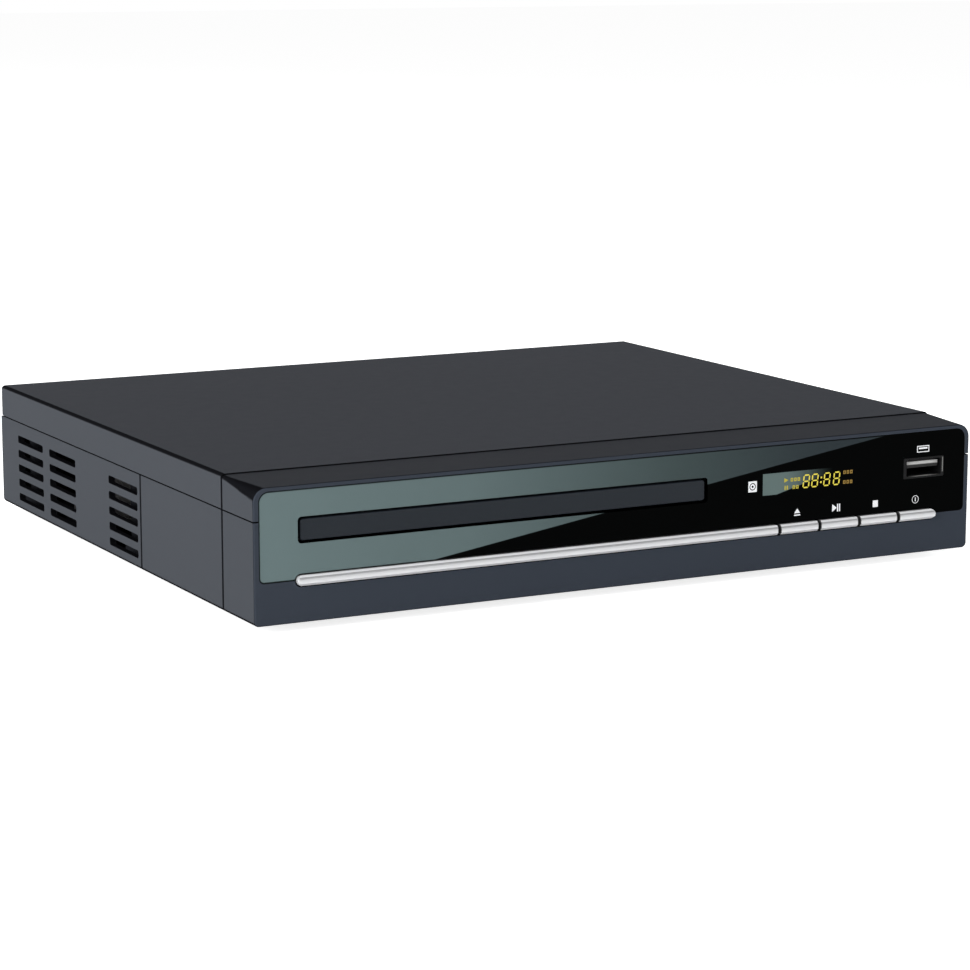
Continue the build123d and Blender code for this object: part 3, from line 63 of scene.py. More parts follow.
# Scale of the noise whose stretched grains are brush marks.
BRUSHING = 2600.0
# Factors that stretch a noise along one axis, by scaling its place down along that axis.
ALONG_X = (0.05, 1.0, 1.0)
ALONG_Y = (1.0, 0.1, 1.0)
ALONG_Z = (1.0, 1.0, 0.1)
UNSTRETCHED = (1.0, 1.0, 1.0)

# Places on the front in millimetres from the case's left side and its underside.
RECEIVER_MARK = (157.9, 25.15)
SOCKET_MARK_HEIGHT = 31.6
COLON = (181.75, 23.2)
UPPER_MARKS = 26.1
LOWER_MARKS = 23.85
# Where the four digits stand beside the colon, in digit pitches.
DIGIT_PLACES = (-1.6, -0.67, 0.63, 1.68)
DIGIT_LEAN = math.tan(math.radians(6.0))


def linear(red, green, blue):
    """A colour given as 0 to 255 on a screen, as the light values that Blender works in."""
    values = [channel / 255 for channel in (red, green, blue)]
    return tuple(v / 12.92 if v <= 0.04045 else ((v + 0.055) / 1.055) ** 2.4 for v in values)


def shade(colour, factor=1.0):
    """A colour made lighter or darker, with alpha."""
    return tuple(channel * factor for channel in colour[:3]) + (1.0,)


def on_front(x_mm, z_mm):
    """A point of the front, from the case's left side and its underside, as X and Z in metres."""
    return CASE_LOW.x + x_mm * MM, CASE_LOW.z + z_mm * MM


class Value:
    """A shader socket that takes part in Python expressions, which add its Math nodes."""

    def __init__(self, nodes, socket):
        self.nodes = nodes
        self.socket = socket

    def maths(self, operation, *values):
        return self.nodes.add("ShaderNodeMath", {"operation": operation}, dict(enumerate(values)))

    def __add__(self, other):
        return self.maths("ADD", self, other)

    def __sub__(self, other):
        return self.maths("SUBTRACT", self, other)

    def __rsub__(self, other):
        return self.maths("SUBTRACT", other, self)

    def __mul__(self, other):
        return self.maths("MULTIPLY", self, other)

    def __truediv__(self, other):
        return self.maths("DIVIDE", self, other)

    def lesser(self, other):
        return self.maths("MINIMUM", self, other)

    def greater(self, other):
        return self.maths("MAXIMUM", self, other)

    def root(self):
        return self.maths("SQRT", self)

    def __gt__(self, other):
        return self.maths("GREATER_THAN", self, other)

    def __lt__(self, other):
        return self.maths("LESS_THAN", self, other)

    def __abs__(self):
        return self.maths("ABSOLUTE", self)

    __radd__ = __add__
    __rmul__ = __mul__

    def between(self, low, high):
        """0 at low and 1 at high, with a soft start and end."""
        settings = {"interpolation_type": "SMOOTHSTEP"}
        inputs = {"Value": self, "From Min": low, "From Max": high}
        return self.nodes.add("ShaderNodeMapRange", settings, inputs)


class Nodes:
    """The node tree of one material or world."""

    def __init__(self, tree):
        self.tree = tree
        self.tree.nodes.clear()

    def add(self, kind, settings=None, inputs=None, output=0):
        """Adds a node: its settings are set first, then its sockets get values or links."""
        made = self.tree.nodes.new(kind)
        for key, value in (settings or {}).items():
            if key == "stops":
                self.set_stops(made.color_ramp, value)
            else:
                setattr(made, key, value)
        for key, value in (inputs or {}).items():
            if isinstance(value, Value):
                self.tree.links.new(value.socket, made.inputs[key])
            else:
                made.inputs[key].default_value = value
        return Value(self, made.outputs[output]) if made.outputs else None

    def set_stops(self, ramp, stops):
        for index, (position, colour) in enumerate(stops):
            stop = ramp.elements[index] if index < 2 else ramp.elements.new(position)
            stop.position = position
            stop.color = colour

    def place(self):
        """Where a point of the surface lies, in metres in the part's frame."""
        return self.add("ShaderNodeTexCoord", output="Object")

    def split(self, vector):
        return [self.add("ShaderNodeSeparateXYZ", None, {0: vector}, i) for i in range(3)]

    def normal_parts(self):
        return self.split(self.add("ShaderNodeNewGeometry", output="Normal"))

    def stretched(self, factors):
        """The surface's place, scaled differently along each axis."""
        settings = {"operation": "MULTIPLY"}
        return self.add("ShaderNodeVectorMath", settings, {0: self.place(), 1: factors})

    def noise(self, scale, detail=2.0, stretch=UNSTRETCHED):
        inputs = {"Vector": self.stretched(stretch), "Scale": scale, "Detail": detail}
        return self.add("ShaderNodeTexNoise", None, inputs)

    def cells(self, scale, output="Distance"):
        return self.add("ShaderNodeTexVoronoi", None, {"Vector": self.place(), "Scale": scale}, output)

    def mix(self, factor, first, second):
        """A colour between two colours."""
        settings = {"data_type": "RGBA"}
        return self.add("ShaderNodeMix", settings, {0: factor, 6: first, 7: second}, 2)

    def ramp(self, value, stops):
        return self.add("ShaderNodeValToRGB", {"stops": stops}, {0: value})

    def bump(self, height, depth_mm, strength):
        inputs = {"Height": height, "Distance": depth_mm * MM, "Strength": strength}
        return self.add("ShaderNodeBump", None, inputs)

    def surface(self, painted_shade=None, **sockets):
        """Ends the tree in one surface. Underscores in the names stand for spaces.

        Where the shade mask is 1, the surface is painted shade: a matt near-black that reflects nothing.
        """
        inputs = {key.replace("_", " "): value for key, value in sockets.items()}
        ior_level = inputs.pop("Specular", None)
        if ior_level is not None:
            inputs["Specular IOR Level"] = ior_level
        shader = self.add("ShaderNodeBsdfPrincipled", None, inputs)
        if painted_shade is not None:
            black = self.add("ShaderNodeBsdfDiffuse", None, {"Color": NEAR_BLACK})
            shader = self.add("ShaderNodeMixShader", None, {0: painted_shade, 1: shader, 2: black})
        self.add("ShaderNodeOutputMaterial", None, {"Surface": shader})


def new_material(name):
    material = bpy.data.materials.new(name)
    material.use_nodes = True
    return material, Nodes(material.node_tree)


def dress(material, *names):
    """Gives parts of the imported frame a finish, without touching their shape."""
    for name in names:
        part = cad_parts[name]
        if not part.material_slots:
            part.data.materials.append(material)
        for holder in part.material_slots:
            holder.material = material


def mould_grain(nodes, colour, cell_mm, mottle=0.05):
    """Spark-eroded mould texture: its colour and its height."""
    fine = nodes.noise(1 / (cell_mm * MM), 3.0)
    broad = nodes.noise(38.0, 3.0)
    tone = nodes.mix(broad, shade(colour, 1 - mottle), shade(colour, 1 + mottle))
    return nodes.mix(fine * 0.15, tone, shade(colour, 0.86)), fine


def below_skin(nodes, front_drop):
    """How deep a point lies under the flat faces of the case, in metres. Rounded edges count as deep.

    With front_drop the top falls towards the front, as the bezel's does. The two ends count half.
    """
    x, y, z = nodes.split(nodes.place())
    top = COVER_HIGH.z
    if front_drop:
        slope = (COVER_HIGH.z - BEZEL_HIGH.z) / (CASE_LOW.y - BEZEL_LOW.y)
        top = (y - CASE_LOW.y) * slope + BEZEL_HIGH.z
    side = (CASE_HIGH.x - CASE_LOW.x) / 2 - abs(x)
    upright = (top - z).lesser(z - CASE_LOW.z)
    ends = (y - BEZEL_LOW.y).lesser(COVER_HIGH.y - y)
    return side.lesser(upright).lesser(ends * 0.5)


def nearest(value, places):
    """How far a point lies from the nearest of several places along one axis."""
    distance = abs(value - places[0])
    for place in places[1:]:
        distance = distance.lesser(abs(value - place))
    return distance


def seam_shade(nodes, places):
    """1 on the side walls within 0.5 mm of the upright seams, where the shade of the seams is painted."""
    y = nodes.split(nodes.place())[1]
    sideways = abs(nodes.normal_parts()[0]).between(0.6, 0.8)
    return (1 - nearest(y, places).between(0.5 * MM, 0.68 * MM)) * sideways


def top_edge_shade(nodes):
    """1 along the outer millimetre of the top faces, where the long edges start to round over: there a dark
    line of painted shade goes.
    """
    x = nodes.split(nodes.place())[0]
    side = (CASE_HIGH.x - CASE_LOW.x) / 2 - abs(x)
    return (1 - side.between(0.8 * MM, 1.3 * MM)) * nodes.normal_parts()[2].between(0.3, 0.6)


def case_plastic(name, colour, case, seams, wall_mm=2.0, crown_shade=0.0):
    """Satin grey moulding with painted light and shade: a lighter, bluish tone on its side walls, a darker
    tone on its top faces, and painted shade in its seams, slots and rounded long edges.

    Past the wall's thickness, inside the shell, the painted shade is a little less dark.
    """
    material, nodes = new_material(name)
    tone, grain = mould_grain(nodes, colour, 0.5, 0.02)
    across, _, up = nodes.normal_parts()
    # Painted light: faces that look sideways take the lighter side tone, faces that look up take the darker
    # cover tone, less the crown shade.
    tone = nodes.mix(abs(across).between(0.7, 0.95), tone, shade(case.sides))
    tone = nodes.mix(up.between(0.5, 0.95), tone, shade(case.cover, 1 - crown_shade))
    depth = below_skin(nodes, crown_shade > 0)
    inside = depth.between((wall_mm - 0.3) * MM, (wall_mm - 0.1) * MM)
    skin_shade = depth.between(0.01 * MM, 0.14 * MM) * (1 - inside * 0.12)
    # Painted shade: slots, seams, rounded long edges and the shell's inside turn matt near-black.
    dark = 1 - (1 - skin_shade) * (1 - seam_shade(nodes, seams)) * (1 - top_edge_shade(nodes))
    roughness = nodes.noise(220.0) * 0.08 + 0.52
    nodes.surface(painted_shade=dark * case.edge_shade, Base_Color=tone, Roughness=roughness, Specular=case.gloss,
                  Normal=nodes.bump(grain, 0.006, 0.4))
    return material


def moulding(name, colour, roughness=0.5, cell_mm=0.5):
    """Plain injection moulding."""
    material, nodes = new_material(name)
    tone, grain = mould_grain(nodes, colour, cell_mm)
    rough = nodes.noise(400.0) * 0.1 + (roughness - 0.05)
    nodes.surface(Base_Color=tone, Roughness=rough, Specular=0.3, Normal=nodes.bump(grain, 0.01, 0.5))
    return material


def gloss_moulding(name, colour):
    """Polished plastic with faint flow lines."""
    material, nodes = new_material(name)
    flow = nodes.noise(90.0, 2.0, (1.0, 1.0, 6.0))
    tone = nodes.mix(flow, shade(colour, 0.9), shade(colour, 1.08))
    rough = flow * 0.08 + 0.18
    nodes.surface(Base_Color=tone, Roughness=rough, Specular=0.45, Normal=nodes.bump(flow, 0.01, 0.3))
    return material


def window_rim(x, z):
    """1 in the thin shadow line along the window's outline, which has rounded corners."""
    middle_x = (WINDOW_LOW.x + WINDOW_HIGH.x) / 2
    middle_z = (WINDOW_LOW.z + WINDOW_HIGH.z) / 2
    lower_radius, upper_radius = 1.5 * MM, 3.0 * MM
    radius = (z > middle_z) * (upper_radius - lower_radius) + lower_radius
    past_x = (abs(x - middle_x) + radius - (WINDOW_HIGH.x - middle_x)).greater(0)
    past_z = (abs(z - middle_z) + radius - (WINDOW_HIGH.z - middle_z)).greater(0)
    reach = (past_x * past_x + past_z * past_z).root()
    return (reach - radius).between(-0.42 * MM, -0.2 * MM)


def window_acrylic(front):
    """Black acrylic with a painted reflection: a teal field that ends on a slanted line and fades to the
    right.
    """
    material, nodes = new_material("window_acrylic")
    x, y, z = nodes.split(nodes.place())
    low_x, low_z = on_front(*front.reflection_line_start)
    high_x, high_z = on_front(*front.reflection_line_end)
    slope = (high_z - low_z) / (high_x - low_x)
    # The teal field is a painted reflection, bounded by a slanted line.
    above = z - (x - low_x) * slope - low_z
    field = above.between(-front.reflection_softness, front.reflection_softness)
    left, right = WINDOW_LOW.x, WINDOW_HIGH.x
    stops = [(0.0, shade(front.reflection_left)), (0.27, shade(front.reflection_left, 0.84)),
             (0.56, shade(front.reflection_left, 0.36)), (0.78, shade(front.reflection_right)),
             (1.0, shade(front.reflection_right, 0.8))]
    teal = nodes.ramp((x - left) / (right - left), stops)
    teal = nodes.mix(nodes.noise(30.0) * 0.25, teal, shade(front.reflection_left, 0.55))
    black = shade(front.black)
    tone = nodes.mix(field, black, teal)
    inside, level = display_patch(front, x, z)
    # Painted light: the teal patch over the display's field.
    tone = nodes.mix(inside, tone, nodes.mix(level, black, shade(front.display_teal_light)))
    tone = nodes.mix(window_rim(x, z) * 0.9, tone, black)
    facing_front = y < WINDOW_LOW.y + 0.3 * MM
    tone = nodes.mix(facing_front, shade(front.black, 0.5), tone)
    ripple = nodes.noise(14.0, 1.0)
    rough = nodes.noise(700.0, 3.0) * 0.04 + 0.06
    nodes.surface(Base_Color=tone, Roughness=rough, Specular=front.window_gloss,
                  Normal=nodes.bump(ripple, 0.02, 0.2))
    return material


def display_patch(front, x, z):
    """Where the display's own field lies, and how much painted teal light shows there, above a slanted line
    and fading to the right.
    """
    x0, z0 = on_front(*front.display_low)
    x1, z1 = on_front(*front.display_high)
    inside = (x > x0) * (x < x1) * (z > z0) * (z < z1)
    start = x0 + front.display_slant_start * MM
    slant = (z1 - z0) / (x1 - start)
    lit = (z - (x - start) * slant - z0).between(-0.1 * MM, 0.1 * MM)
    fade = 1 - (x - x0).between(6 * MM, 25 * MM)
    return inside, lit * fade


def door_plastic(colour):
    """Satin tray door with a faint painted highlight along its top and bottom rim."""
    material, nodes = new_material("door_plastic")
    tone, grain = mould_grain(nodes, colour, 0.3)
    low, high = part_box("tray_door")
    z = nodes.split(nodes.place())[2]
    middle_z = (low.z + high.z) / 2
    reach = (high.z - low.z) / 2
    edge = (abs(z - middle_z) / reach).between(0.84, 0.97)
    # Painted highlight: the rim is lighter where its edge catches the light.
    tone = nodes.mix(edge * 0.35, tone, shade(colour, 1.9))
    nodes.surface(Base_Color=tone, Roughness=nodes.noise(300.0) * 0.1 + 0.4, Specular=0.12,
                  Normal=nodes.bump(grain, 0.01, 0.4))
    return material


def brushed(name, colour, stretch, roughness=0.32):
    """Metal brushed along one axis, with long faint streaks."""
    material, nodes = new_material(name)
    streaks = nodes.noise(BRUSHING, 3.0, stretch)
    bands = nodes.noise(420.0, 2.0, stretch)
    tone = nodes.mix(streaks, shade(colour, 0.84), shade(colour, 1.08))
    tone = nodes.mix(bands * 0.4, tone, shade(colour, 0.9))
    rough = streaks * 0.16 + (roughness - 0.08)
    nodes.surface(Base_Color=tone, Roughness=rough, Metallic=1.0, Normal=nodes.bump(streaks, 0.006, 0.6))
    return material


def trim_finish(name, colour):
    """Satin aluminium strip with painted highlights on its edges and left end, and painted shade in the
    groove near its top, on its back and on its cut ends in the gaps.
    """
    material, nodes = new_material(name)
    low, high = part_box("trim_bar")
    x, y, z = nodes.split(nodes.place())
    rise = (z - low.z) / (high.z - low.z)
    # Painted light and shade across the bar's height: bright bevels and a shaded band at the groove.
    levels = {0.0: 1.0, 0.2: 1.0, 0.4: 0.9, 0.6: 0.72, 0.74: 0.58, 0.78: 0.36, 0.815: 0.36, 0.845: 1.0}
    painted_profile = nodes.ramp(rise, [(height, shade(colour, level)) for height, level in levels.items()])
    # Painted highlight on the bar's left end.
    end_highlight = 1 - (x - low.x).between(0.2 * MM, 0.7 * MM)
    painted_profile = nodes.mix(end_highlight, painted_profile, shade(colour))
    # Painted shade on the bar's back, set deeper than its face.
    behind = (y - low.y).between(1.1 * MM, 1.5 * MM)
    painted_profile = nodes.mix(behind, painted_profile, shade(colour, 0.25))
    # Painted shade on the cut ends in the gaps between the bar and the buttons.
    gap_shade = nearest(x, ROW_GAPS).between(0.56 * MM, 0.66 * MM)
    painted_profile = nodes.mix(gap_shade, shade(colour, 0.008), painted_profile)
    streaks = nodes.noise(BRUSHING, 3.0, ALONG_X)
    tone = nodes.mix(streaks * 0.3, painted_profile, shade(colour, 0.6))
    nodes.surface(Base_Color=tone, Roughness=streaks * 0.14 + 0.3, Metallic=0.3,
                  Normal=nodes.bump(streaks, 0.004, 0.4))
    return material


def socket_steel(name, colour):
    """Dark steel shell, its dark tone painted shade, with painted highlights on the far wall, the far rim
    and the sill of its mouth.
    """
    material, nodes = new_material(name)
    low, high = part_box("data_socket_shell")
    x, y, z = nodes.split(nodes.place())
    across, along, up = nodes.normal_parts()
    far_wall = (across < -0.5) * (x > high.x - 1.0 * MM)
    middle = (low.x + high.x) / 2
    shine = 1 - (abs(x - middle) / (high.x - middle)).between(0.1, 0.9)
    sill = (up > 0.5) * (z < low.z + 1.0 * MM) * shine
    mouth = 1 - (y - low.y).between(0.8 * MM, 1.6 * MM)
    far_rim = (along < -0.5) * (x > high.x - 0.65 * MM) * (x < high.x - 0.35 * MM)
    far_rim = far_rim * (z > low.z + 1.3 * MM) * (z < high.z - 0.4 * MM)
    brushing = nodes.noise(BRUSHING, 3.0, ALONG_Y)
    # Painted shade: the shell's dark steel tone.
    dark = nodes.mix(brushing, shade(colour, 0.8), shade(colour, 1.2))
    # Painted highlight on the far wall, the far rim and the sill, just inside the mouth.
    bare = (far_wall * 0.6 + sill) * mouth + far_rim * 0.35
    tone = nodes.mix(bare, dark, shade(linear(214, 214, 210)))
    nodes.surface(Base_Color=tone, Roughness=brushing * 0.16 + 0.3, Metallic=0.2, Specular=0.1,
                  Normal=nodes.bump(brushing, 0.006, 0.6))
    return material


def contact_tongue(name, colour):
    """Pale tongue with painted shade towards its ends and a painted shadow along its lower part."""
    material, nodes = new_material(name)
    low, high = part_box("data_socket_tongue")
    x, _, z = nodes.split(nodes.place())
    tone, grain = mould_grain(nodes, colour, 0.4)
    middle = (low.x + high.x) / 2
    # Painted shade towards the tongue's ends, beside the shell's walls.
    ends = (abs(x - middle) / (high.x - middle)).between(0.5, 1.0)
    tone = nodes.mix(ends * 0.5, tone, shade(colour, 0.35))
    # Painted shadow: the lower part of the tongue turns near-black.
    under = (high.z - z).between(1.3 * MM, 1.5 * MM)
    tone = nodes.mix(under, tone, shade(colour, 0.02))
    nodes.surface(Base_Color=tone, Roughness=grain * 0.1 + 0.4, Specular=0.2,
                  Normal=nodes.bump(grain, 0.01, 0.5))
    return material


def plated_sheet(name, colour):
    """Zinc-plated sheet with its cloudy crystals."""
    material, nodes = new_material(name)
    crystals = nodes.cells(260.0, "Color")
    depth = nodes.cells(260.0)
    cloud = nodes.noise(120.0, 3.0)
    tone = nodes.mix(nodes.split(crystals)[0] * 0.5, shade(colour), shade(colour, 0.78))
    nodes.surface(Base_Color=tone, Roughness=cloud * 0.18 + 0.27, Metallic=1.0,
                  Normal=nodes.bump(depth, 0.01, 0.3))
    return material


def ground_steel(name, colour):
    """Turned and ground steel with fine rings."""
    material, nodes = new_material(name)
    rings = nodes.noise(3000.0, 2.0, (0.1, 1.0, 0.1))
    tone = nodes.mix(rings, shade(colour, 0.85), shade(colour, 1.05))
    nodes.surface(Base_Color=tone, Roughness=rings * 0.1 + 0.16, Metallic=1.0,
                  Normal=nodes.bump(rings, 0.004, 0.5))
    return material


def cast_metal(name, colour):
    """Die-cast metal with a pitted skin."""
    material, nodes = new_material(name)
    pits = nodes.cells(1500.0)
    cloud = nodes.noise(160.0, 4.0)
    tone = nodes.mix(cloud, shade(colour, 0.8), shade(colour, 1.15))
    nodes.surface(Base_Color=tone, Roughness=cloud * 0.2 + 0.42, Metallic=0.85,
                  Normal=nodes.bump(pits, 0.02, 0.5))
    return material


def painted_sheet(name, colour):
    """Powder-coated steel with its fine orange peel."""
    material, nodes = new_material(name)
    peel = nodes.cells(900.0)
    cloud = nodes.noise(50.0, 3.0)
    tone = nodes.mix(cloud, shade(colour, 0.9), shade(colour, 1.1))
    nodes.surface(Base_Color=tone, Roughness=peel * 0.15 + 0.42, Specular=0.35,
                  Normal=nodes.bump(peel, 0.02, 0.5))
    return material


def rubber(name, colour):
    """Matt rubber with dust in its pores."""
    material, nodes = new_material(name)
    pores = nodes.noise(1800.0, 4.0)
    dust = nodes.noise(130.0, 3.0)
    tone = nodes.mix(dust * 0.5, shade(colour), shade(colour, 1.6))
    nodes.surface(Base_Color=tone, Roughness=pores * 0.1 + 0.78, Specular=0.2,
                  Normal=nodes.bump(pores, 0.02, 0.5))
    return material


def board_laminate():
    """Green solder mask over copper tracks, with bare pads."""
    material, nodes = new_material("board_laminate")
    brick = {"Vector": nodes.place(), "Scale": 1.0, "Mortar Size": 0.0003, "Brick Width": 0.013,
             "Row Height": 0.0017}
    tracks = nodes.add("ShaderNodeTexBrick", None, brick, "Fac")
    pads = nodes.cells(330.0) < 0.12
    mask = shade(linear(20, 92, 48))
    tone = nodes.mix(tracks, mask, shade(linear(38, 122, 66)))
    tone = nodes.mix(pads, tone, shade(linear(196, 186, 150)))
    nodes.surface(Base_Color=tone, Roughness=pads * 0.12 + 0.26, Metallic=pads * 0.8, Specular=0.45,
                  Normal=nodes.bump(tracks + pads, 0.03, 0.6))
    return material


def capacitor_sleeve():
    """Dark shrunk sleeve below a bare aluminium top."""
    material, nodes = new_material("can_sleeve")
    lid = nodes.normal_parts()[2] > 0.6
    wrinkle = nodes.noise(900.0, 2.0, (1.0, 1.0, 0.2))
    sleeve = nodes.mix(wrinkle, shade(linear(16, 26, 52)), shade(linear(34, 46, 84)))
    tone = nodes.mix(lid, sleeve, shade(linear(200, 202, 205)))
    nodes.surface(Base_Color=tone, Roughness=wrinkle * 0.15 + 0.2, Metallic=lid,
                  Normal=nodes.bump(wrinkle, 0.01, 0.4))
    return material


def fuse_finish():
    """Clear tube between nickel caps."""
    material, nodes = new_material("fuse_glass")
    low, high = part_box("fuse")
    x, _, z = nodes.split(nodes.place())
    cap_length, tube_radius, wire_radius = 3 * MM, 2.6 * MM, 0.15 * MM
    cap = abs(x - (low.x + high.x) / 2) > (high.x - low.x) / 2 - cap_length
    wire = abs(z - (high.z - tube_radius)) < wire_radius
    glass = nodes.mix(wire, shade(linear(196, 206, 204)), shade(linear(120, 118, 112)))
    smear = nodes.noise(500.0, 2.0)
    nodes.surface(Base_Color=nodes.mix(cap, glass, shade(linear(214, 212, 206))), Metallic=cap,
                  Roughness=smear * 0.14 + 0.1, Coat_Weight=1 - cap, Normal=nodes.bump(smear, 0.005, 0.4))
    return material


def ribbon_film():
    """White laminated film with its row of conductors."""
    material, nodes = new_material("ribbon_film")
    wave = {"Vector": nodes.place(), "Scale": 160.0}
    lines = nodes.add("ShaderNodeTexWave", {"bands_direction": "X"}, wave, 1)
    tone = nodes.mix(lines, shade(linear(206, 208, 212)), shade(linear(150, 150, 158)))
    nodes.surface(Base_Color=tone, Roughness=lines * 0.1 + 0.3, Specular=0.5,
                  Normal=nodes.bump(lines, 0.04, 0.5))
    return material


def coated_lens():
    """Moulded lens with a violet coating over its opening."""
    material, nodes = new_material("lens_glass")
    up = nodes.normal_parts()[2]
    rings = nodes.noise(1200.0, 1.0)
    tone = nodes.mix(up.between(0.75, 1.0), shade(linear(40, 42, 60)), shade(linear(96, 112, 176)))
    nodes.surface(Base_Color=tone, Roughness=rings * 0.04 + 0.04, Specular=0.6, Coat_Weight=0.8,
                  Normal=nodes.bump(rings, 0.002, 0.2))
    return material


def winding_tape():
    """Yellow polyester tape, wound in overlapping turns."""
    material, nodes = new_material("winding_tape")
    wave = {"Vector": nodes.place(), "Scale": 95.0, "Distortion": 1.5}
    turns = nodes.add("ShaderNodeTexWave", {"bands_direction": "Z"}, wave, 1)
    tone = nodes.mix(turns, shade(linear(226, 190, 44)), shade(linear(190, 150, 28)))
    nodes.surface(Base_Color=tone, Roughness=turns * 0.12 + 0.24, Specular=0.5,
                  Normal=nodes.bump(turns, 0.05, 0.6))
    return material


def ink(name, colour):
    """Screen-printed ink with its mesh, and a faint painted glow."""
    material, nodes = new_material(name)
    mesh = nodes.noise(4000.0, 2.0)
    tone = nodes.mix(mesh, shade(colour, 0.93), shade(colour, 1.04))
    # Painted light: the ink glows faintly, so the white print stays bright.
    nodes.surface(Base_Color=tone, Roughness=mesh * 0.1 + 0.45, Specular=0.2,
                  Emission_Color=shade(colour), Emission_Strength=0.3, Normal=nodes.bump(mesh, 0.004, 0.3))
    return material


def glow(name, colour, strength):
    """Lit display segments, a little uneven in brightness."""
    material, nodes = new_material(name)
    spot = nodes.noise(900.0, 1.0)
    tone = nodes.mix(spot, shade(colour, 0.75), shade(colour, 1.15))
    nodes.surface(Base_Color=shade(colour, 0.3), Emission_Color=tone, Emission_Strength=strength,
                  Roughness=spot * 0.1 + 0.3, Specular=0.2)
    return material


def rectangle(x, z, width, height):
    """A closed outline about a centre, as pairs of X and Z."""
    corners = ((-0.5, -0.5), (0.5, -0.5), (0.5, 0.5), (-0.5, 0.5))
    return [(x + across * width, z + up * height) for across, up in corners]


def circle(x, z, radius, steps=48):
    angles = [2 * math.pi * step / steps for step in range(steps)]
    return [(x + radius * math.cos(angle), z + radius * math.sin(angle)) for angle in angles]


def leaned(outline, pivot_z, lean):
    """An outline slanted to the right, about the height that stays in place."""
    return [(x + (z - pivot_z) * lean, z) for x, z in outline]


def printed(name, outlines, thickness, material):
    """A thin printed layer on the window, from closed outlines in X and Z. Inner outlines are holes."""
    curve = bpy.data.curves.new(name + "_curve", "CURVE")
    curve.dimensions = "2D"
    curve.fill_mode = "BOTH"
    curve.extrude = thickness / 2
    for outline in outlines:
        spline = curve.splines.new("POLY")
        spline.points.add(len(outline) - 1)
        for point, (x, z) in zip(spline.points, outline):
            point.co = (x, z, 0, 1)
        spline.use_cyclic_u = True
    holder = bpy.data.objects.new(name + "_holder", curve)
    bpy.context.scene.collection.objects.link(holder)
    bpy.context.view_layer.update()
    mesh = bpy.data.meshes.new_from_object(holder.evaluated_get(bpy.context.evaluated_depsgraph_get()))
    bpy.data.objects.remove(holder)
    shape = bmesh.new()
    shape.from_mesh(mesh)
    for vertex in shape.verts:
        x, z, depth = vertex.co
        # A tenth of the layer lies inside the window, so that no gap shows behind it.
        vertex.co = (x, WINDOW_LOW.y - thickness * 0.4 - depth, z)
    bmesh.ops.remove_doubles(shape, verts=shape.verts, dist=1e-7)
    bmesh.ops.recalc_face_normals(shape, faces=shape.faces)
    shape.to_mesh(mesh)
    shape.free()
    mesh.name = name
    mesh.materials.clear()
    mesh.materials.append(material)
    piece = bpy.data.objects.new(name, mesh)
    bpy.context.scene.collection.objects.link(piece)
    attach(piece, "root")


def segment_bar(x, z, length, width, upright):
    """One pointed bar of a digit."""
    half = length / 2
    point = width / 2
    bar = [(-half, 0), (point - half, point), (half - point, point), (half, 0), (half - point, -point),
           (point - half, -point)]
    if upright:
        bar = [(side, along) for along, side in bar]
    return [(x + a, z + b) for a, b in bar]


def digit_eight(x, base_z, width, height, bar_width):
    """The seven bars of a figure eight, with small gaps between them."""
    reach = height / 2 - bar_width / 2
    side = width / 2 - bar_width / 2
    gap = bar_width * 0.8
    middle = base_z + height / 2
    bars = [segment_bar(x, middle + level * reach, 2 * side - gap, bar_width, upright=False)
            for level in (-1, 0, 1)]
    for half_side in (-1, 1):
        for level in (-0.5, 0.5):
            bars.append(segment_bar(x + half_side * side, middle + level * reach, reach - gap, bar_width,
                                    upright=True))
    return bars


def colour_property(name, description, value):
    return bpy.props.FloatVectorProperty(name=name, description=description, subtype="COLOR", size=3,
                                         default=value, min=0.0, max=1.0)


def place_property(name, description, value):
    return bpy.props.FloatVectorProperty(name=name, description=description, size=2, default=value)


def number_property(name, description, value, **kind):
    return bpy.props.FloatProperty(name=name, description=description, default=value, **kind)


def length_property(name, description, value):
    return number_property(name, description, value, unit="LENGTH", precision=5)


def factor_property(name, description, value):
    return number_property(name, description, value, subtype="FACTOR", min=0.0, max=1.0)


def power_property(name, description, value):
    return number_property(name, description, value, unit="POWER")


def angle_property(name, description, value):
    return number_property(name, description, value, unit="ROTATION")


class CaseSettings(bpy.types.PropertyGroup):
    """Colours of the case. The cover, side and bezel colours are one grey plastic as it shows lit on the
    top, the sides and the front: painted light and shade.
    """

    cover: colour_property("Cover", "Top cover plastic", linear(56, 58, 63))
    sides: colour_property("Sides", "Lower shell plastic", linear(68, 71, 76))
    bezel: colour_property("Bezel", "Front bezel plastic", linear(67, 73, 83))
    edge_shade: factor_property("Edge shade", "How dark rounded edges and seams are", 0.95)
    crown_shade: factor_property("Crown shade", "How much darker the bezel's top is", 0.3)
    gloss: factor_property("Gloss", "Strength of the plastic's reflections", 0.004)


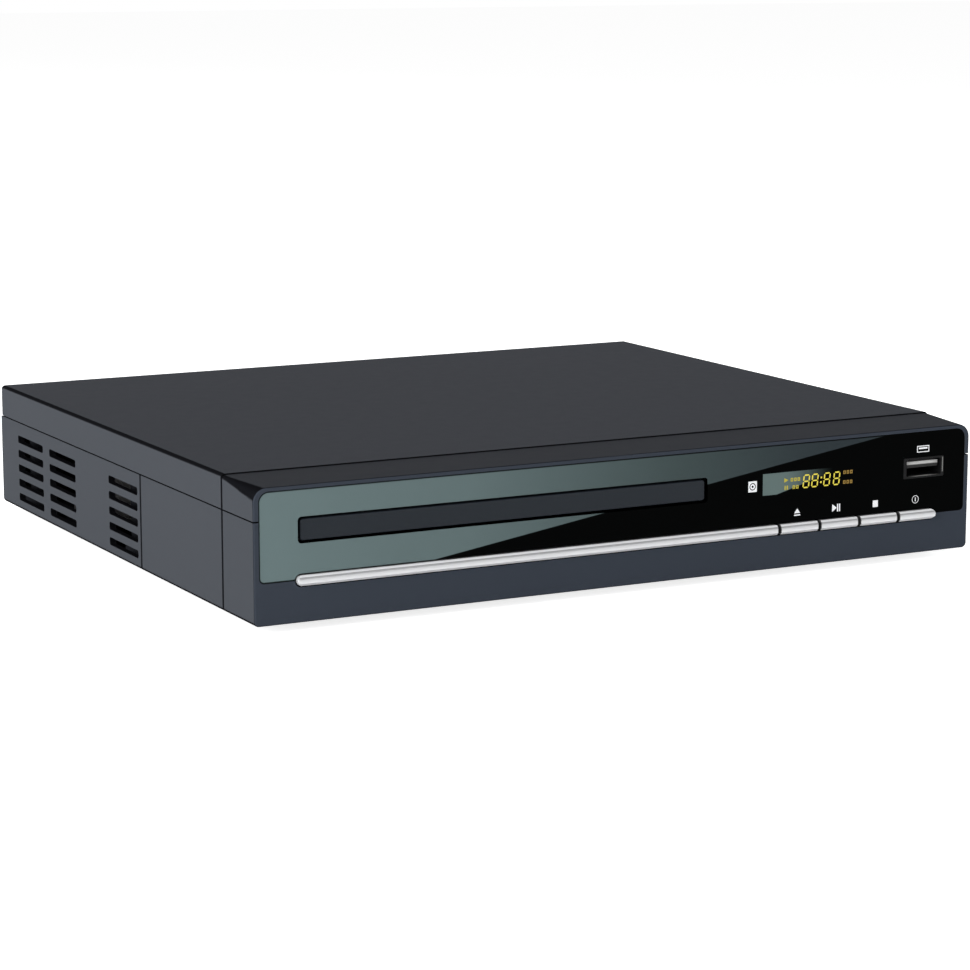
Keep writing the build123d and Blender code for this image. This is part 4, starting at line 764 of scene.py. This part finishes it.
class FrontSettings(bpy.types.PropertyGroup):
    """Colours of the front, and places on it in millimetres from the case's left side and underside."""

    black: colour_property("Black", "Unprinted window", linear(2, 3, 3))
    # Painted reflection: the window's teal field, its slanted edge and its fade.
    reflection_left: colour_property("Field, left", "Teal field at the window's left end",
                                linear(120, 139, 140))
    reflection_right: colour_property("Field, right", "Teal field near its right end", linear(51, 58, 63))
    door: colour_property("Door", "Tray door plastic", linear(38, 43, 49))
    trim: colour_property("Trim", "Brushed bar and buttons", linear(240, 241, 243))
    # Painted light: the teal patch over the display.
    display_teal_light: colour_property("Display field", "Teal behind the display", linear(112, 130, 128))
    digits: colour_property("Digits", "Lit display segments", (0.80, 0.68, 0.08))
    amber: colour_property("Marks", "Faint display marks", (0.36, 0.22, 0.04))
    white: colour_property("Ink", "White print", linear(236, 238, 240))
    window_gloss: factor_property("Window gloss", "Strength of the window's reflections", 0.012)
    reflection_softness: length_property("Field edge", "Half width of the field's slanted edge", 0.12 * MM)
    reflection_line_start: place_property("Field line, low end", "Low end of the slanted edge", (52.8, 13.3))
    reflection_line_end: place_property("Field line, high end", "High end of the slanted edge", (205.9, 36.9))
    display_low: place_property("Display, low corner", "Lower left corner of the display field",
                                (161.43, 22.15))
    display_high: place_property("Display, high corner", "Upper right corner of the display field",
                                 (190.33, 28.54))
    display_slant_start: number_property("Display slant", "Where the display's slanted edge starts, mm",
                                         4.9)
    print_thickness: length_property("Print thickness", "Height of the printed layers", 0.04 * MM)
    icon_base: number_property("Icon base", "Underside of the symbols above the case's underside, mm", 15.2)
    icon_shift: length_property("Icon shift", "How far the symbols stand left of the buttons' middles",
                                0.24 * MM)
    digit_width: length_property("Digit width", "Width of a display digit", 2.3 * MM)
    digit_height: length_property("Digit height", "Height of a display digit", 4.05 * MM)
    digit_pitch: length_property("Digit pitch", "From one digit's middle to the next", 3.25 * MM)
    segment_width: length_property("Segment width", "Width of a digit's bars", 0.38 * MM)


class StageSettings(bpy.types.PropertyGroup):
    """Light levels and the camera."""

    key_power: power_property("Key", "Power of the softbox on the left", 44.0)
    top_power: power_property("Top", "Power of the softbox above", 1.2)
    front_power: power_property("Front", "Power of the softbox in front", 8.7)
    rear_power: power_property("Rear", "Power of the softbox behind", 14.0)
    right_power: power_property("Right", "Power of the softbox on the right", 42.0)
    ambient: number_property("Ambient", "Level of the light from all round", 0.2)
    floor_glow: number_property("Floor white", "White that the floor adds to the picture", 0.8)
    lens: number_property("Lens", "Focal length on a 36 mm sensor", 112.27)
    camera_place: bpy.props.FloatVectorProperty(name="Camera", description="Where the camera stands",
                                                default=(-0.42984, -0.83721, 0.18623),
                                                subtype="TRANSLATION")
    pitch: angle_property("Pitch", "How far the camera looks down", math.radians(10.359))
    yaw: angle_property("Yaw", "How far the camera looks to the right", math.radians(27.611))


class PLAYER_OT_case(bpy.types.Operator):
    """Finish the top cover, the lower shells, the bezel and the feet"""

    bl_idname = "player.case"
    bl_label = "Case"

    def execute(self, context):
        case = context.scene.player_case
        cover = case_plastic("cover_plastic", case.cover, case, SIDE_SEAMS[:1])
        shells = case_plastic("side_plastic", case.sides, case, SIDE_SEAMS)
        bezel = case_plastic("bezel_plastic", case.bezel, case, SIDE_SEAMS[:1], wall_mm=4.0,
                             crown_shade=case.crown_shade)
        dress(cover, "top_cover")
        dress(shells, "lower_shell_front", "lower_shell_rear")
        dress(bezel, "front_bezel_upper", "front_bezel_lower")
        dress(rubber("foot_rubber", linear(38, 38, 39)), "rubber_feet")
        return {"FINISHED"}


class PLAYER_OT_front(bpy.types.Operator):
    """Finish the window, the tray door, the trim bar and the buttons"""

    bl_idname = "player.front"
    bl_label = "Front"

    def execute(self, context):
        front = context.scene.player_front
        dress(window_acrylic(front), "front_window")
        dress(door_plastic(front.door), "tray_door")
        dress(trim_finish("trim_metal", front.trim), "trim_bar")
        dress(trim_finish("button_metal", shade(front.trim, 1.03)), *ROW[1:])
        return {"FINISHED"}


class PLAYER_OT_symbols(bpy.types.Operator):
    """Print the control symbols above the buttons and the marks beside the receiver and the socket"""

    bl_idname = "player.symbols"
    bl_label = "Control symbols"

    def execute(self, context):
        front = context.scene.player_front
        white = ink("white_ink", front.white)
        base = on_front(0, front.icon_base)[1]
        drawings = {"eject": (self.eject, 0.0), "play": (self.play_pause, 0.25), "stop": (self.stop, 0.35),
                    "power": (self.power, -0.1)}
        layers = {}
        for name, (drawing, left_mm) in drawings.items():
            low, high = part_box("button_" + name)
            x = (low.x + high.x) / 2 - front.icon_shift - left_mm * MM
            layers["symbol_" + name] = drawing(x, base)
        layers["receiver_mark"] = self.receiver()
        layers["socket_mark"] = self.socket()
        for name, outlines in layers.items():
            printed(name, outlines, front.print_thickness, white)
        return {"FINISHED"}

    def eject(self, x, base):
        half = 1.05 * MM
        bar = rectangle(x, base + 0.18 * MM, 2 * half, 0.36 * MM)
        arrow = [(x - half, base + 0.75 * MM), (x + half, base + 0.75 * MM), (x, base + 2.15 * MM)]
        return [bar, arrow]

    def play_pause(self, x, base):
        height = 2.3 * MM
        arrow = [(x - 1.45 * MM, base), (x + 0.15 * MM, base + height / 2), (x - 1.45 * MM, base + height)]
        bars = [rectangle(x + offset * MM, base + height / 2, 0.4 * MM, height) for offset in (0.45, 1.15)]
        return [arrow] + bars

    def stop(self, x, base):
        return [rectangle(x, base + 1.15 * MM, 1.8 * MM, 2.0 * MM)]

    def power(self, x, base):
        z = base + 1.2 * MM
        return [circle(x, z, 1.2 * MM), circle(x, z, 1.05 * MM), rectangle(x, z, 0.26 * MM, 1.2 * MM)]

    def receiver(self):
        """A white square with a ring and a dot."""
        x, z = on_front(*RECEIVER_MARK)
        rings = [circle(x, z, radius * MM) for radius in (1.1, 0.8, 0.36)]
        return [rectangle(x, z, 2.9 * MM, 3.2 * MM)] + rings

    def socket(self):
        """The mouth of a socket with its tongue, drawn small."""
        low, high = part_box("data_socket_shell")
        x = (low.x + high.x) / 2 - 0.5 * MM
        z = on_front(0, SOCKET_MARK_HEIGHT)[1]
        mouth = rectangle(x, z, 4.4 * MM, 2.0 * MM)
        hollow = rectangle(x, z, 3.9 * MM, 1.5 * MM)
        return [mouth, hollow, rectangle(x, z + 0.22 * MM, 3.1 * MM, 0.5 * MM)]


class PLAYER_OT_display(bpy.types.Operator):
    """Build the lit digits and marks of the display"""

    bl_idname = "player.display"
    bl_label = "Display"

    def execute(self, context):
        front = context.scene.player_front
        colon_x, base = on_front(*COLON)
        bars = []
        for place in DIGIT_PLACES:
            x = colon_x + place * front.digit_pitch
            bars += digit_eight(x, base, front.digit_width, front.digit_height, front.segment_width)
        dot = 0.5 * MM
        for level in (0.33, 0.67):
            bars.append(rectangle(colon_x, base + level * front.digit_height, dot, dot))
        digits = [leaned(bar, base + front.digit_height / 2, DIGIT_LEAN) for bar in bars]
        faint_marks = self.blocks(190.0, 26.8, 3) + self.blocks(190.0, LOWER_MARKS, 3)
        yellow = glow("display_yellow", front.digits, strength=0.85)
        dim = glow("display_dim", shade(front.digits, 0.7), strength=0.7)
        amber = glow("display_amber", front.amber, strength=0.6)
        layers = {"display_digits": (digits, yellow), "display_marks": (self.marks(), dim),
                  "display_faint_marks": (faint_marks, amber)}
        for name, (outlines, light) in layers.items():
            printed(name, outlines, front.print_thickness, light)
        return {"FINISHED"}

    def marks(self):
        """A play mark, a pause mark and two groups of hollow blocks beside the digits."""
        x, high = on_front(169.55, UPPER_MARKS)
        low = on_front(0, LOWER_MARKS)[1]
        play = [(x - 0.7 * MM, high - 0.65 * MM), (x + 0.75 * MM, high), (x - 0.7 * MM, high + 0.65 * MM)]
        pause = [rectangle(x + side * 0.38 * MM, low, 0.42 * MM, 1.25 * MM) for side in (-1, 1)]
        return [play, *pause, *self.blocks(171.5, UPPER_MARKS, 3), *self.blocks(172.2, LOWER_MARKS, 2)]

    def blocks(self, x_mm, z_mm, count):
        """A row of small hollow blocks."""
        x, z = on_front(x_mm, z_mm)
        places = [x + step * 1.2 * MM for step in range(count)]
        sizes = ((0.85 * MM, 1.05 * MM), (0.3 * MM, 0.5 * MM))
        return [rectangle(place, z, *size) for place in places for size in sizes]


class PLAYER_OT_loader(bpy.types.Operator):
    """Finish the disc tray, the drive under it, the traverse and the clamp"""

    bl_idname = "player.loader"
    bl_label = "Loader"

    def execute(self, context):
        dress(moulding("tray_plastic", linear(52, 52, 54), roughness=0.48), "disc_tray")
        dress(moulding("frame_plastic", linear(46, 46, 48), roughness=0.55), "loader_frame")
        dress(moulding("gear_plastic", linear(226, 224, 214), roughness=0.4, cell_mm=0.8), "drive_gear",
              "pulley_gear", "motor_pulley")
        dress(moulding("slider_plastic", linear(94, 96, 98)), "cam_slider")
        dress(moulding("turntable_plastic", linear(58, 58, 59), roughness=0.45), "turntable", "clamp_puck")
        dress(rubber("belt_rubber", linear(30, 30, 30)), "drive_belt")
        dress(plated_sheet("zinc_steel", linear(196, 197, 199)), "traverse_deck", "clamp_bridge")
        dress(brushed("motor_steel", linear(186, 187, 190), ALONG_Z), "tray_motor", "spindle_motor",
              "sled_motor")
        dress(ground_steel("rod_steel", linear(216, 217, 219)), "guide_rods", "feed_screw")
        dress(cast_metal("pickup_metal", linear(118, 119, 122)), "pickup_sled")
        dress(coated_lens(), "objective_lens")
        return {"FINISHED"}


class PLAYER_OT_boards(bpy.types.Operator):
    """Finish the circuit boards and what stands on them"""

    bl_idname = "player.boards"
    bl_label = "Boards"

    def execute(self, context):
        dress(board_laminate(), "front_board", "main_board", "power_board")
        dress(moulding("chip_resin", linear(44, 44, 46), roughness=0.6, cell_mm=0.25), "decoder_chip",
              "memory_chips", "ir_receiver")
        dress(brushed("sink_aluminium", linear(176, 177, 180), ALONG_Y, roughness=0.4), "heat_sink")
        dress(capacitor_sleeve(), "board_capacitors")
        dress(cast_metal("ferrite", linear(70, 70, 72)), "transformer_core")
        dress(winding_tape(), "transformer_coil")
        dress(fuse_finish(), "fuse")
        dress(ribbon_film(), "front_ribbon")
        dress(gloss_moulding("display_plastic", linear(30, 32, 33)), "display_module")
        return {"FINISHED"}


class PLAYER_OT_sockets(bpy.types.Operator):
    """Finish the rear panel and all sockets"""

    bl_idname = "player.sockets"
    bl_label = "Sockets"

    def execute(self, context):
        dress(painted_sheet("panel_steel", linear(58, 59, 62)), "rear_panel")
        dress(moulding("socket_plastic", linear(38, 38, 40)), "mains_inlet", "jack_block",
              "video_socket_tongue")
        dress(brushed("socket_steel", linear(204, 205, 208), ALONG_Y, roughness=0.28), "jack_sleeves",
              "video_socket_shell", "tact_switches")
        # The data socket's dark steel tone is painted shade.
        dress(socket_steel("data_socket_steel", linear(24, 24, 25)), "data_socket_shell")
        dress(contact_tongue("tongue_plastic", linear(214, 214, 212)), "data_socket_tongue")
        dress(ground_steel("pin_brass", linear(226, 208, 150)), "mains_pins")
        colours = {"yellow": (236, 196, 40), "white": (232, 231, 226), "red": (196, 40, 40),
                   "orange": (232, 126, 40)}
        for name, colour in colours.items():
            dress(gloss_moulding("jack_" + name, linear(*colour)), "jack_insulator_" + name)
        return {"FINISHED"}


class PLAYER_OT_screws(bpy.types.Operator):
    """Finish the case and board screws"""

    bl_idname = "player.screws"
    bl_label = "Screws"

    def execute(self, context):
        dress(brushed("screw_steel", linear(92, 93, 96), UNSTRETCHED, roughness=0.4), "case_screws",
              "board_screws")
        return {"FINISHED"}


def softbox(name, place, target, size, power):
    """A square area light that faces a point."""
    light = bpy.data.lights.new(name, "AREA")
    light.energy = power
    light.size = size
    holder = bpy.data.objects.new(name, light)
    holder.location = place
    direction = target - holder.location
    holder.rotation_euler = direction.to_track_quat("-Z", "Y").to_euler()
    bpy.context.scene.collection.objects.link(holder)


def seen_directly(nodes):
    """1 for rays from the camera, from a reflection or through glass, and 0 for light on surfaces."""
    rays = [nodes.add("ShaderNodeLightPath", output=name)
            for name in ("Is Camera Ray", "Is Glossy Ray", "Is Transmission Ray")]
    return (rays[0] + rays[1] + rays[2]).between(0.0, 1.0)


class PLAYER_OT_stage(bpy.types.Operator):
    """Lay the pale floor, hang the lights and place the camera"""

    bl_idname = "player.stage"
    bl_label = "Stage"

    def execute(self, context):
        stage = context.scene.player_stage
        self.floor(stage)
        self.surroundings(context.scene, stage)
        middle = (CASE_LOW + CASE_HIGH) / 2
        boxes = {"key": ((-1.7, -0.35, 0.55), 1.5), "top": ((0.1, 0.2, 1.6), 1.6),
                 "front": ((0.5, -1.9, 0.5), 1.5), "rear": ((-0.3, 1.8, 0.35), 0.7),
                 "right": ((2.0, 0.5, 0.35), 0.7)}
        for name, (place, size) in boxes.items():
            softbox(name + "_box", place, middle, size, getattr(stage, name + "_power"))
        self.camera(context.scene, stage)
        context.scene.view_settings.view_transform = "Standard"
        return {"FINISHED"}

    def floor(self, stage):
        reach = 6.0
        mesh = bpy.data.meshes.new("studio_floor")
        corners = [(-reach, -reach, 0), (reach, -reach, 0), (reach, reach, 0), (-reach, reach, 0)]
        mesh.from_pydata(corners, [], [(0, 1, 2, 3)])
        material, nodes = new_material("floor_paper")
        paper = nodes.add("ShaderNodeBsdfDiffuse", None, {"Color": shade(WHITE, 0.86)})
        glare = {"Color": WHITE, "Strength": seen_directly(nodes) * stage.floor_glow}
        white = nodes.add("ShaderNodeEmission", None, glare)
        both = nodes.add("ShaderNodeAddShader", None, {0: paper, 1: white})
        nodes.add("ShaderNodeOutputMaterial", None, {"Surface": both})
        mesh.materials.append(material)
        floor = bpy.data.objects.new("studio_floor", mesh)
        bpy.context.scene.collection.objects.link(floor)

    def surroundings(self, scene, stage):
        world = bpy.data.worlds.new("studio")
        world.use_nodes = True
        nodes = Nodes(world.node_tree)
        light = nodes.add("ShaderNodeBackground", None, {"Color": WHITE, "Strength": stage.ambient})
        white = nodes.add("ShaderNodeBackground", None, {"Color": WHITE, "Strength": 1.0})
        both = nodes.add("ShaderNodeMixShader", None, {0: seen_directly(nodes), 1: light, 2: white})
        nodes.add("ShaderNodeOutputWorld", None, {"Surface": both})
        scene.world = world

    def camera(self, scene, stage):
        data = bpy.data.cameras.new("camera")
        data.lens = stage.lens
        data.sensor_width = 36.0
        camera = bpy.data.objects.new("camera", data)
        camera.location = stage.camera_place
        camera.rotation_euler = (math.pi / 2 - stage.pitch, 0.0, -stage.yaw)
        scene.collection.objects.link(camera)
        scene.camera = camera


OPERATORS = (PLAYER_OT_stage, PLAYER_OT_case, PLAYER_OT_front, PLAYER_OT_symbols, PLAYER_OT_display,
             PLAYER_OT_loader, PLAYER_OT_boards, PLAYER_OT_sockets, PLAYER_OT_screws)
SETTINGS = {"player_case": CaseSettings, "player_front": FrontSettings, "player_stage": StageSettings}


class PLAYER_PT_panel(bpy.types.Panel):
    """The steps that dress the player"""

    bl_idname = "PLAYER_PT_panel"
    bl_label = "Disc Player"
    bl_space_type = "VIEW_3D"
    bl_region_type = "UI"
    bl_category = "Disc Player"

    def draw(self, context):
        for operator in OPERATORS:
            self.layout.operator(operator.bl_idname)
        for name, group in SETTINGS.items():
            box = self.layout.box()
            for key in group.__annotations__:
                box.prop(getattr(context.scene, name), key)


def register():
    for kind in (*SETTINGS.values(), *OPERATORS, PLAYER_PT_panel):
        bpy.utils.register_class(kind)
    for name, group in SETTINGS.items():
        setattr(bpy.types.Scene, name, bpy.props.PointerProperty(type=group))


def unregister():
    for name in SETTINGS:
        delattr(bpy.types.Scene, name)
    for kind in (PLAYER_PT_panel, *reversed(OPERATORS), *reversed(SETTINGS.values())):
        bpy.utils.unregister_class(kind)


def main():
    register()
    for step in OPERATORS:
        group, name = step.bl_idname.split(".")
        getattr(getattr(bpy.ops, group), name)()


if __name__ == "__main__":
    main()
